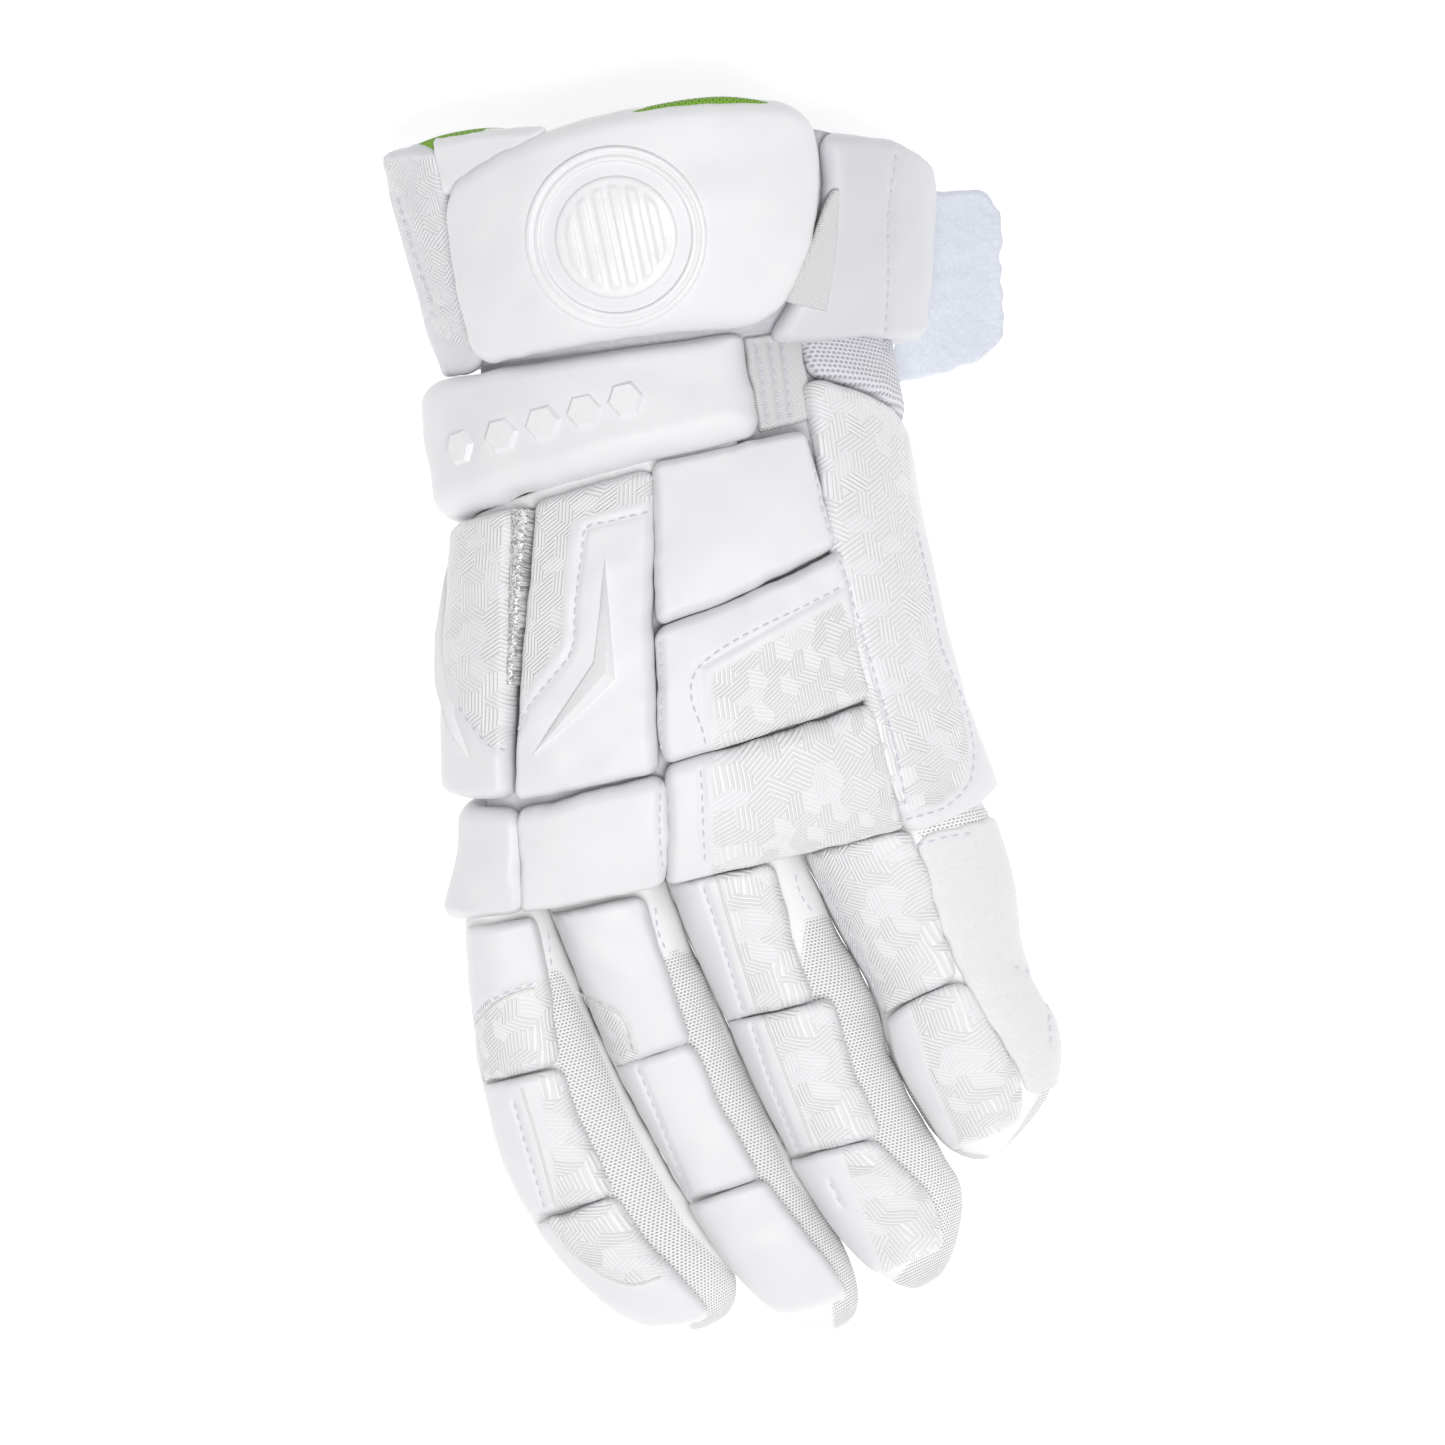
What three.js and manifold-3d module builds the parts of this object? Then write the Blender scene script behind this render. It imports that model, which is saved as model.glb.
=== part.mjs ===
import * as THREE from 'three';
import { mergeVertices } from 'three/addons/utils/BufferGeometryUtils.js';
import Module from 'manifold-3d';

const wasm = await Module();
wasm.setup();

// Left-hand lacrosse glove lying palm down, thumb folded under the palm.
// Millimetres, +Z up out of the back of the hand, +Y towards the cuff, +X towards the little finger.

// Overall sizes
const gloveLength = 330;
const gloveWidth = 183;
const fingerLift = 30;
const handDepth = 45;

// Walls and clearances
const linerWall = 2;
const fingerWall = 1.6;
const seat = 0.4;
const seamGap = 0.5;

// Pad thicknesses
const handPad = 12;
const lowPad = 10.5;
const lowTaper = 4; // thinner towards the index-finger edge
const fingerPad = 10;
const thumbPad = 6;
const sidePad = 9.5;
const sideMargin = 4.5;
const platePad = 10;
const flapPad = 8;
const wingPad = 7;
const strapPad = 13.5;
const suedeThick = 1.8;

// Trim thicknesses
const webbingThick = 3;
const elasticThick = 1.8;
const elasticDrop = 1.4;
const cuffKnit = 6;
const trimThick = 5;
const ventThick = 7;
const ridgeThick = 2.4;
const ridgeWidth = 7;
const ventWidth = 5;
const elasticWidth = 13;
const badgeRadius = 24;
const badgeBand = 4.2;
const badgeThick = 1.4;
const tapeThick = 2.6;

// Place of the badge on the cuff, as shares along and around
const badgeAt = [0.445, 0.446];

// Where the fingers meet the hand, as a share of the glove's length
const knuckle = -0.117;
const fingerStart = knuckle - seamGap / gloveLength;

// Sections of each tube, from its cuff end to its far end. Columns:
// left edge x and y, right edge x and y (x in glove widths, y in glove lengths),
// floor height (in finger lifts) and depth (in hand depths).
const tubes = {
  cuff: { power: 2.3, dome: 0, rows: [
    [-0.246, 0.476, 0.476, 0.448, -0.05, 1.811],
    [-0.246, 0.42, 0.452, 0.392, -0.05, 1.789],
    [-0.246, 0.367, 0.426, 0.337, -0.033, 1.733],
    [-0.243, 0.317, 0.4, 0.284, 0, 1.6],
  ] },
  hand: { power: 2.4, dome: 0, rows: [
    [-0.197, 0.338, 0.356, 0.316, 0.5, 1.067],
    [-0.213, 0.289, 0.354, 0.271, 0.533, 1.089],
    [-0.229, 0.208, 0.351, 0.198, 0.667, 1.089],
    [-0.268, 0.114, 0.344, 0.104, 0.867, 1.022],
    [-0.31, 0.02, 0.345, 0.009, 0.967, 0.956],
    [-0.341, -0.067, 0.362, -0.072, 0.967, 0.889],
    [-0.387, knuckle, 0.379, knuckle, 0.9, 0.8],
  ] },
  index: { power: 2.6, dome: 0.2, rows: [
    [-0.392, fingerStart, -0.275, fingerStart, 0.9, 0.733],
    [-0.411, -0.189, -0.254, -0.188, 0.7, 0.711],
    [-0.42, -0.259, -0.23, -0.255, 0.467, 0.711],
    [-0.411, -0.329, -0.199, -0.318, 0.267, 0.667],
    [-0.374, -0.389, -0.167, -0.374, 0.133, 0.622],
    [-0.312, -0.445, -0.129, -0.422, 0.05, 0.589],
    [-0.236, -0.493, -0.087, -0.468, 0.033, 0.533],
  ] },
  middle: { power: 2.6, dome: 0.2, rows: [
    [-0.272, fingerStart, -0.099, fingerStart, 0.9, 0.778],
    [-0.25, -0.188, -0.081, -0.182, 0.733, 0.778],
    [-0.227, -0.254, -0.056, -0.244, 0.533, 0.756],
    [-0.196, -0.318, -0.032, -0.308, 0.333, 0.733],
    [-0.164, -0.374, -0.003, -0.365, 0.183, 0.7],
    [-0.12, -0.437, 0.032, -0.421, 0.067, 0.644],
    [-0.051, -0.52, 0.091, -0.49, 0.033, 0.556],
  ] },
  ring: { power: 2.6, dome: 0.2, rows: [
    [-0.096, fingerStart, 0.103, fingerStart, 0.9, 0.8],
    [-0.078, -0.181, 0.125, -0.181, 0.733, 0.8],
    [-0.053, -0.243, 0.159, -0.245, 0.533, 0.778],
    [-0.029, -0.307, 0.17, -0.305, 0.333, 0.756],
    [0, -0.364, 0.199, -0.361, 0.183, 0.722],
    [0.035, -0.42, 0.23, -0.414, 0.067, 0.644],
    [0.086, -0.498, 0.227, -0.473, 0.033, 0.556],
  ] },
  little: { power: 2.6, dome: 0.2, rows: [
    [0.107, fingerStart, 0.379, fingerStart, 0.9, 0.733],
    [0.13, -0.181, 0.388, -0.179, 0.7, 0.733],
    [0.163, -0.245, 0.382, -0.242, 0.5, 0.711],
    [0.174, -0.305, 0.408, -0.305, 0.267, 0.689],
    [0.207, -0.361, 0.389, -0.349, 0.1, 0.622],
    [0.235, -0.403, 0.342, -0.386, 0.033, 0.533],
  ] },
  thumb: { power: 2.4, dome: 0.25, rows: [
    [-0.196, 0.155, -0.029, 0.156, 1.067, 0.489],
    [-0.246, 0.095, -0.068, 0.095, 0.267, 0.644],
    [-0.273, 0.032, -0.103, 0.027, 0.067, 0.6],
    [-0.28, -0.033, -0.125, -0.039, 0.033, 0.578],
    [-0.269, -0.1, -0.141, -0.105, 0.033, 0.533],
  ] },
};

// Pads, each a four-cornered patch on its tube. Corners are [along, around] in tube shares:
// start left, start right, end left, end right; around 0 is the left edge, 0.5 the top, 1 the right edge.
// bow bulges the start, end, left and right edges; thick is the thickness at the left and right edges;
// lean turns the thickness from the tube's normal (0) to straight up (1).
const pads = [
  { name: 'hand_pad_index_outer', on: 'hand', at: [[0.378, -0.1], [0.36, 0.21], [0.735, -0.12], [0.75, 0.193]],
    thick: [handPad, handPad], lean: 0.3, color: 0xf1f1f5 },
  { name: 'hand_pad_index_inner', on: 'hand', at: [[0.358, 0.262], [0.34, 0.455], [0.757, 0.204], [0.754, 0.432]],
    thick: [handPad, handPad], lean: 0.3, color: 0xf1f1f5 },
  { name: 'hand_pad_index_low_outer', on: 'hand', at: [[0.757, -0.1], [0.784, 0.194], [0.995, -0.06], [0.998, 0.225]],
    thick: [lowPad - lowTaper, lowPad], lean: 0.3, color: 0xf1f1f5 },
  { name: 'hand_pad_index_low_inner', on: 'hand', at: [[0.787, 0.205], [0.77, 0.437], [0.998, 0.238], [0.998, 0.434]],
    thick: [lowPad, lowPad], lean: 0.3, color: 0xf1f1f5 },
  { name: 'hand_pad_upper', on: 'hand', at: [[0.333, 0.466], [0.325, 0.684], [0.546, 0.46], [0.484, 0.7]],
    thick: [handPad, handPad], lean: 0.3, color: 0xf1f1f5 },
  { name: 'hand_pad_middle', on: 'hand', at: [[0.562, 0.456], [0.5, 0.704], [0.74, 0.452], [0.7, 0.709]],
    thick: [handPad, handPad], lean: 0.3, color: 0xf1f1f5 },
  { name: 'hand_pad_lower', on: 'hand', at: [[0.758, 0.45], [0.724, 0.709], [0.998, 0.447], [0.978, 0.706]],
    thick: [lowPad, lowPad], lean: 0.3, color: 0xf1f1f5 },
  { name: 'hand_pad_side', on: 'hand', at: [[0.24, 0.704], [0.36, 1.06], [0.998, 0.722], [0.925, 1.06]],
    thick: [sidePad, sideMargin], lean: 0.1, color: 0xececf0 },
  { name: 'finger_pad_index_1', on: 'index', at: [[0.024, 0.02], [0.03, 0.68], [0.3, 0.02], [0.302, 0.54]],
    thick: [fingerPad, fingerPad], lean: 1, color: 0xf2f2f6 },
  { name: 'finger_pad_index_2', on: 'index', at: [[0.326, 0.06], [0.328, 0.542], [0.588, 0.07], [0.598, 0.52]],
    thick: [fingerPad, fingerPad], lean: 1, color: 0xf2f2f6 },
  { name: 'finger_pad_index_3', on: 'index', at: [[0.624, 0.1], [0.618, 0.52], [0.92, 0.06], [0.965, 0.5]],
    thick: [fingerPad, fingerPad], lean: 0.9, color: 0xf2f2f6 },
  { name: 'finger_pad_middle_1', on: 'middle', at: [[0.03, 0.02], [0.036, 0.648], [0.336, 0.02], [0.338, 0.566]],
    thick: [fingerPad, fingerPad], lean: 1, color: 0xf2f2f6 },
  { name: 'finger_pad_middle_2', on: 'middle', at: [[0.358, 0.02], [0.356, 0.568], [0.664, 0.02], [0.668, 0.568]],
    thick: [fingerPad, fingerPad], lean: 1, color: 0xf2f2f6 },
  { name: 'finger_pad_middle_3', on: 'middle', at: [[0.694, 0.03], [0.69, 0.588], [0.92, 0.05], [0.955, 0.66]],
    thick: [fingerPad, fingerPad], lean: 0.9, color: 0xf2f2f6 },
  { name: 'finger_pad_ring_1', on: 'ring', at: [[0.022, 0.08], [0.026, 0.636], [0.322, 0.02], [0.312, 0.538]],
    thick: [fingerPad, fingerPad], lean: 1, color: 0xf2f2f6 },
  { name: 'finger_pad_ring_2', on: 'ring', at: [[0.348, 0.02], [0.334, 0.554], [0.646, 0.02], [0.642, 0.512]],
    thick: [fingerPad, fingerPad], lean: 1, color: 0xf2f2f6 },
  { name: 'finger_pad_ring_3', on: 'ring', at: [[0.672, 0.03], [0.666, 0.534], [0.93, 0.05], [0.935, 0.66]],
    thick: [fingerPad, fingerPad], lean: 0.9, color: 0xf2f2f6 },
  { name: 'finger_pad_little_1', on: 'little', at: [[0.03, 0.02], [0.016, 0.512], [0.452, 0.1], [0.405, 0.506]],
    thick: [fingerPad, fingerPad], lean: 1, color: 0xf2f2f6 },
  { name: 'finger_pad_little_2', on: 'little', at: [[0.488, 0.12], [0.432, 0.528], [0.89, 0.03], [0.9, 0.64]],
    thick: [fingerPad, fingerPad], lean: 1, color: 0xf2f2f6 },
  { name: 'finger_side_suede', on: 'little', at: [[0.03, 0.535], [0.03, 1.14], [0.8, 0.672], [0.8, 1.14]],
    thick: [suedeThick, suedeThick], lean: 0, color: 0xe6e6e8 },
  { name: 'thumb_pad_base', on: 'thumb', at: [[0.3, -0.22], [0.34, 0.03], [0.58, -0.22], [0.58, 0.03]],
    thick: [thumbPad, thumbPad], lean: 0, color: 0xf1f1f5 },
  { name: 'thumb_pad_tip', on: 'thumb', at: [[0.61, -0.22], [0.61, 0.03], [0.9, -0.2], [0.9, 0.03]],
    thick: [thumbPad, thumbPad], lean: 0, color: 0xf1f1f5 },
  { name: 'wrist_strap_pad', on: 'hand', at: [[0.13, -0.14], [0.12, 0.585], [0.362, -0.14], [0.304, 0.588]],
    thick: [strapPad, strapPad], lean: 0.1, color: 0xf3f3f8 },
  { name: 'wrist_strap_webbing', on: 'hand', at: [[0.122, 0.597], [0.135, 0.678], [0.304, 0.598], [0.31, 0.676]],
    thick: [webbingThick, webbingThick], lean: 0, color: 0xc4c4ca },
  { name: 'wrist_knit_band', on: 'hand', at: [[0.14, 0.7], [0.225, 1.08], [0.225, 0.704], [0.34, 1.08]],
    thick: [cuffKnit, cuffKnit], lean: 0, color: 0xd8d8e0 },
  { name: 'cuff_plate', on: 'cuff', at: [[0.05, 0.15], [0.02, 0.69], [0.985, 0.13], [0.985, 0.615]],
    bow: [0.13, 0, 0.03, 0.05], thick: [platePad, platePad], lean: 0.2, color: 0xf4f4fa },
  { name: 'cuff_wing', on: 'cuff', at: [[-0.085, -0.12], [-0.07, 0.132], [1, -0.12], [1, 0.115]],
    bow: [0, 0, 0, -0.025], thick: [wingPad, wingPad], lean: 0.1, color: 0xefeff3 },
  { name: 'cuff_wing_crest', on: 'cuff', at: [[-0.075, 0.145], [-0.118, 0.35], [0.032, 0.145], [-0.097, 0.35]],
    bow: [0.015, -0.0145, 0, 0], thick: [wingPad, wingPad], lean: 0.1, color: 0xefeff3 },
  { name: 'lining_trim_wing', on: 'cuff', at: [[-0.115, 0.05], [-0.158, 0.33], [-0.095, 0.05], [-0.138, 0.33]],
    thick: [trimThick, trimThick], lean: 0, color: 0x7db331 },
  { name: 'lining_trim_plate', on: 'cuff', at: [[-0.135, 0.4], [-0.02, 0.69], [-0.107, 0.4], [0.006, 0.69]],
    bow: [0.0375, -0.0375, 0, 0], thick: [trimThick, trimThick], lean: 0, color: 0x7db331 },
  { name: 'cuff_flap', on: 'cuff', at: [[0.08, 0.705], [0.36, 1.16], [1.04, 0.665], [1.1, 1.16]],
    bow: [0, 0, -0.03, 0], thick: [flapPad, flapPad], lean: 0, color: 0xf0f0f6 },
];

// Narrow bands, each a path of [along, around, width in mm] on its tube, over a pad of the given thickness.
const bands = [
  { name: 'hand_vent_strip', on: 'hand', over: 0, thick: ventThick, lean: 0.3, color: 0xb9b9c0, path: [
    [0.37, 0.236, 0.9], [0.43, 0.229, 0.76], [0.5, 0.223, 0.6], [0.57, 0.216, 0.46], [0.6, 0.213, 0.38],
  ] },
  { name: 'hand_ridge_inner', on: 'hand', over: handPad, thick: ridgeThick, lean: 0.3, color: 0xfafafe, path: [
    [0.446, 0.38, 0.3], [0.528, 0.372, 0.7], [0.6, 0.362, 1], [0.652, 0.305, 0.9], [0.7, 0.232, 0.25],
  ] },
  { name: 'hand_ridge_outer', on: 'hand', over: handPad, thick: ridgeThick, lean: 0.3, color: 0xfafafe, path: [
    [0.415, 0.01, 0.3], [0.5, 0.0, 0.7], [0.6, 0.0, 1], [0.655, 0.025, 0.8], [0.7, 0.07, 0.25],
  ] },
  { name: 'cuff_elastic', on: 'cuff', over: flapPad - elasticDrop, thick: elasticThick, color: 0xc2c2c8, path: [
    [0.42, 0.722, 0.2], [0.62, 0.71, 0.45], [0.86, 0.688, 0.85],
  ] },
];
const bandWidth = { hand_vent_strip: ventWidth, cuff_elastic: elasticWidth };

// Line along the cuff flap's edge, past which there is no lining (x in glove widths, y in lengths)
const liningCut = [[0.24, 0.466], [0.34, 0.441], [0.44, 0.412], [0.55, 0.378]];

// Fastener tape lying out past the cuff's little-finger side. Columns: upper corner x and y,
// lower corner x and y (in glove widths and lengths), height of its underside (in finger lifts).
const tape = [
  [0.438, 0.389, 0.38, 0.236, 0.42],
  [0.491, 0.382, 0.435, 0.235, 0.26],
  [0.541, 0.377, 0.487, 0.236, 0.13],
  [0.573, 0.37, 0.524, 0.243, 0.08],
  [0.586, 0.354, 0.553, 0.254, 0.09],
];

function catmull(rows, t) {
  const last = rows.length - 1;
  const x = t * last;
  const i = Math.min(Math.max(Math.floor(x), 0), last - 1);
  const f = x - i;
  return rows[0].map((_, k) => {
    const p1 = rows[i][k];
    const p2 = rows[i + 1][k];
    const p0 = i > 0 ? rows[i - 1][k] : 2 * p1 - p2;
    const p3 = i < last - 1 ? rows[i + 2][k] : 2 * p2 - p1;
    const cubic = -p0 + 3 * p1 - 3 * p2 + p3;
    return 0.5 * (2 * p1 + (p2 - p0) * f + (2 * p0 - 5 * p1 + 4 * p2 - p3) * f * f + cubic * f * f * f);
  });
}

// Point on a tube at share t along it and share a around it, moved outwards by grow.
function tubePoint(tube, t, a, grow = 0) {
  const s = catmull(tube.rows, t);
  const left = [s[0] * gloveWidth, s[1] * gloveLength];
  const right = [s[2] * gloveWidth, s[3] * gloveLength];
  const floor = s[4] * fingerLift;
  const depth = s[5] * handDepth;
  const span = Math.hypot(right[0] - left[0], right[1] - left[1]);
  const q = tube.dome ? Math.min(Math.max((t - 1 + tube.dome) / tube.dome, 0), 1) : 0;
  const close = Math.pow(1 - Math.pow(q, 2.2), 1 / 2.2);
  const half = Math.max((span / 2) * close + grow, 0);
  const rise = Math.max((depth / 2) * close + grow, 0);
  const c = Math.cos(Math.PI * a);
  const n = Math.sin(Math.PI * a);
  const across = -Math.sign(c) * Math.pow(Math.abs(c), 2 / tube.power) * half;
  const up = Math.sign(n) * Math.pow(Math.abs(n), 2 / tube.power) * rise;
  const x = (left[0] + right[0]) / 2 + ((right[0] - left[0]) / span) * across;
  const y = (left[1] + right[1]) / 2 + ((right[1] - left[1]) / span) * across;
  return new THREE.Vector3(x, y, Math.max(floor + depth / 2 + up, tube.rest ?? -99));
}

function tubeNormal(tube, t, a) {
  const e = 0.004;
  const along = tubePoint(tube, t + e, a).sub(tubePoint(tube, t - e, a));
  const around = tubePoint(tube, t, a + e).sub(tubePoint(tube, t, a - e));
  return along.cross(around).normalize();
}

function solidFrom(points, faces) {
  const geometry = new THREE.BufferGeometry();
  const array = new Float32Array(points.length * 3);
  points.forEach((p, i) => array.set([p.x, p.y, p.z], i * 3));
  geometry.setAttribute('position', new THREE.BufferAttribute(array, 3));
  let volume = 0;
  for (const [a, b, c] of faces) {
    volume += points[a].dot(points[b].clone().cross(points[c]));
  }
  geometry.setIndex(faces.flatMap(([a, b, c]) => (volume > 0 ? [a, b, c] : [a, c, b])));
  return geometry;
}

function toManifold(geometry) {
  const plain = new THREE.BufferGeometry();
  plain.setAttribute('position', geometry.getAttribute('position'));
  plain.setIndex(geometry.getIndex());
  const merged = mergeVertices(plain, 1e-4);
  const vertProperties = new Float32Array(merged.getAttribute('position').array);
  const triVerts = new Uint32Array(merged.getIndex().array);
  return new wasm.Manifold(new wasm.Mesh({ numProp: 3, vertProperties, triVerts }));
}

function fromManifold(solid) {
  const mesh = solid.getMesh();
  const geometry = new THREE.BufferGeometry();
  const positions = new Float32Array(mesh.numVert * 3);
  for (let i = 0; i < mesh.numVert; i += 1) {
    for (let k = 0; k < 3; k += 1) {
      positions[i * 3 + k] = mesh.vertProperties[i * mesh.numProp + k];
    }
  }
  geometry.setAttribute('position', new THREE.BufferAttribute(positions, 3));
  geometry.setIndex(Array.from(mesh.triVerts));
  return geometry;
}

// Closed body between rings of points; a ring of one point closes an end.
function ringBody(rings) {
  const points = [];
  const starts = rings.map((ring) => {
    const start = points.length;
    points.push(...ring);
    return start;
  });
  const faces = [];
  for (let i = 0; i < rings.length - 1; i += 1) {
    const n = Math.max(rings[i].length, rings[i + 1].length);
    for (let k = 0; k < n; k += 1) {
      const next = (k + 1) % n;
      const a = starts[i] + (rings[i].length > 1 ? k : 0);
      const b = starts[i] + (rings[i].length > 1 ? next : 0);
      const c = starts[i + 1] + (rings[i + 1].length > 1 ? k : 0);
      const d = starts[i + 1] + (rings[i + 1].length > 1 ? next : 0);
      if (a !== b) faces.push([a, b, c]);
      if (c !== d) faces.push([b, d, c]);
    }
  }
  return solidFrom(points, faces);
}

function centre(ring) {
  return ring.reduce((sum, p) => sum.add(p), new THREE.Vector3()).divideScalar(ring.length);
}

function tubeRing(tube, t, around, grow) {
  return Array.from({ length: around }, (_, k) => tubePoint(tube, t, (2 * k) / around, grow));
}

// Filled outer form of a tube between two shares of its length.
function tubeSolid(tube, from, to, steps, around, grow, past = 0) {
  const places = Array.from({ length: steps + 1 }, (_, i) => from + ((to - from) * i) / steps);
  if (past) places.unshift(from - past);
  if (past && !tube.dome) places.push(to + past);
  const rings = places.map((t) => tubeRing(tube, t, around, grow));
  return ringBody([[centre(rings[0])], ...rings, [centre(rings[rings.length - 1])]]);
}

// Share of the tube's length that one millimetre takes.
function shareOfMm(tube) {
  const start = tubePoint(tube, 0, 0.5);
  const end = tubePoint(tube, 1, 0.5);
  return 1 / Math.hypot(end.x - start.x, end.y - start.y);
}

// Steps along and around each tube, and where a domed tube is closed
const counts = {
  cuff: [4, 26],
  hand: [9, 28],
  index: [10, 14],
  middle: [10, 14],
  ring: [10, 14],
  little: [9, 14],
  thumb: [8, 14],
};
const tip = 0.985;

// Hollow sleeve open at its start, and at its far end too unless the tube is domed.
function sleeve(name, wall) {
  const tube = tubes[name];
  const [steps, around] = counts[name];
  const mm = shareOfMm(tube);
  const outer = tubeSolid(tube, 0, tube.dome ? tip : 1, steps, around, 0);
  const innerTip = tube.dome ? tip - wall * mm * 1.5 : 1 + 2 * mm;
  const inner = tubeSolid(tube, -2 * mm, innerTip, steps, around, -wall);
  return toManifold(outer).subtract(toManifold(inner));
}

const edgeSteps = [0, 0.08, 0.36, 0.64, 0.92, 1];

function padPlace(pad, s, r) {
  const [sl, sr, el, er] = pad.at;
  const bow = pad.bow ?? [0, 0, 0, 0];
  const hump = (e) => 1 - (2 * e - 1) ** 2;
  const start = sl[0] + (sr[0] - sl[0]) * r - bow[0] * hump(r);
  const end = el[0] + (er[0] - el[0]) * r + bow[1] * hump(r);
  const left = sl[1] + (el[1] - sl[1]) * s - bow[2] * hump(s);
  const right = sr[1] + (er[1] - sr[1]) * s + bow[3] * hump(s);
  return [start + (end - start) * s, left + (right - left) * r];
}

function padHeight(pad, s, r) {
  const round = (e) => Math.pow(1 - Math.pow(Math.abs(2 * e - 1), 5), 1 / 5);
  const full = pad.thick[0] + (pad.thick[1] - pad.thick[0]) * r;
  return full * (0.5 + 0.5 * Math.min(round(s), round(r)));
}

// Point at a height above a tube's surface, leaning from the normal towards straight up.
function overTube(tube, t, a, base, height, lean) {
  const normal = tubeNormal(tube, t, a);
  const up = new THREE.Vector3(0, 0, 1);
  const way = normal.clone().multiplyScalar(1 - lean).addScaledVector(up, lean).normalize();
  return tubePoint(tube, t, a).addScaledVector(normal, base).addScaledVector(way, height);
}

// Closed block from a lower and an upper grid of the same size.
function gridBody(lower, upper) {
  const rows = lower.length;
  const cols = lower[0].length;
  const points = [...lower.flat(), ...upper.flat()];
  const low = (i, j) => i * cols + j;
  const top = (i, j) => rows * cols + i * cols + j;
  const faces = [];
  const quad = (a, b, c, d) => faces.push([a, b, c], [a, c, d]);
  for (let i = 0; i < rows - 1; i += 1) {
    for (let j = 0; j < cols - 1; j += 1) {
      quad(top(i, j), top(i, j + 1), top(i + 1, j + 1), top(i + 1, j));
      quad(low(i, j), low(i + 1, j), low(i + 1, j + 1), low(i, j + 1));
    }
    quad(low(i, 0), top(i, 0), top(i + 1, 0), low(i + 1, 0));
    quad(low(i, cols - 1), low(i + 1, cols - 1), top(i + 1, cols - 1), top(i, cols - 1));
  }
  for (let j = 0; j < cols - 1; j += 1) {
    quad(low(0, j), low(0, j + 1), top(0, j + 1), top(0, j));
    quad(low(rows - 1, j), top(rows - 1, j), top(rows - 1, j + 1), low(rows - 1, j + 1));
  }
  return solidFrom(points, faces);
}

function padBody(pad, base) {
  const tube = tubes[pad.on];
  const lower = [];
  const upper = [];
  for (const s of edgeSteps) {
    const places = edgeSteps.map((r) => padPlace(pad, s, r));
    lower.push(places.map(([t, a]) => overTube(tube, t, a, base, 0, pad.lean)));
    upper.push(places.map(([t, a], j) => overTube(tube, t, a, 0, padHeight(pad, s, edgeSteps[j]), pad.lean)));
  }
  return gridBody(lower, upper);
}

// Flat band along a path on a tube, at a height above its surface.
function bandBody({ on, path, thick, lean = 0 }, height, width) {
  const tube = tubes[on];
  const lower = [];
  const upper = [];
  path.forEach(([t, a, share], i) => {
    const before = path[Math.max(i - 1, 0)];
    const after = path[Math.min(i + 1, path.length - 1)];
    const way = overTube(tube, after[0], after[1], 0, height, lean);
    way.sub(overTube(tube, before[0], before[1], 0, height, lean)).normalize();
    const side = way.cross(tubeNormal(tube, t, a)).normalize().multiplyScalar((share * width) / 2);
    const low = overTube(tube, t, a, 0, height, lean);
    const top = overTube(tube, t, a, 0, height + thick, lean);
    lower.push([low.clone().sub(side), low.clone().add(side)]);
    upper.push([top.clone().sub(side), top.clone().add(side)]);
  });
  return gridBody(lower, upper);
}

// Round plate following a tube, between two radii about a place on it.
function discBody(tube, t, a, inner, outer, height, thick, around) {
  const e = 0.01;
  const along = tubePoint(tube, t + e, a).sub(tubePoint(tube, t - e, a)).divideScalar(2 * e);
  const across = tubePoint(tube, t, a + e).sub(tubePoint(tube, t, a - e)).divideScalar(2 * e);
  const tt = along.dot(along);
  const ta = along.dot(across);
  const aa = across.dot(across);
  const det = tt * aa - ta * ta;
  const first = along.clone().normalize();
  const second = tubeNormal(tube, t, a).cross(first);
  const place = (radius, angle, lift) => {
    const d = first.clone().multiplyScalar(radius * Math.cos(angle));
    d.addScaledVector(second, radius * Math.sin(angle));
    const dt = (d.dot(along) * aa - d.dot(across) * ta) / det;
    const da = (d.dot(across) * tt - d.dot(along) * ta) / det;
    return overTube(tube, t + dt, a + da, lift, 0, 0);
  };
  const ring = (radius, lift) => Array.from({ length: around }, (_, k) => (
    place(radius, (2 * Math.PI * k) / around, lift)));
  const radii = inner > 0 ? [outer, inner] : [outer, outer * 0.5];
  const rings = [...radii.map((r) => ring(r, height)), ...radii.reverse().map((r) => ring(r, height + thick))];
  if (inner > 0) return ringBody([...rings, rings[0]]);
  const low = [place(0, 0, height)];
  const top = [place(0, 0, height + thick)];
  return ringBody([low, rings[1], rings[0], rings[3], rings[2], top]);
}

// Free strip from its corner rows.
function stripBody(rows, thick) {
  const corner = (x, y, z) => new THREE.Vector3(x * gloveWidth, y * gloveLength, z);
  const across = [0, 0.5, 1];
  const grid = (lift) => rows.map(([x1, y1, x2, y2, z]) => across.map((f) => (
    corner(x1 + (x2 - x1) * f, y1 + (y2 - y1) * f, z * fingerLift + lift))));
  return gridBody(grid(0), grid(thick));
}

const glove = new THREE.Group();

function add(name, geometry, color, roughness) {
  const plain = mergeVertices(geometry, 1e-3);
  plain.computeVertexNormals();
  const material = new THREE.MeshStandardMaterial({ color, roughness, metalness: 0 });
  const mesh = new THREE.Mesh(plain, material);
  mesh.name = name;
  glove.add(mesh);
}

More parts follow.
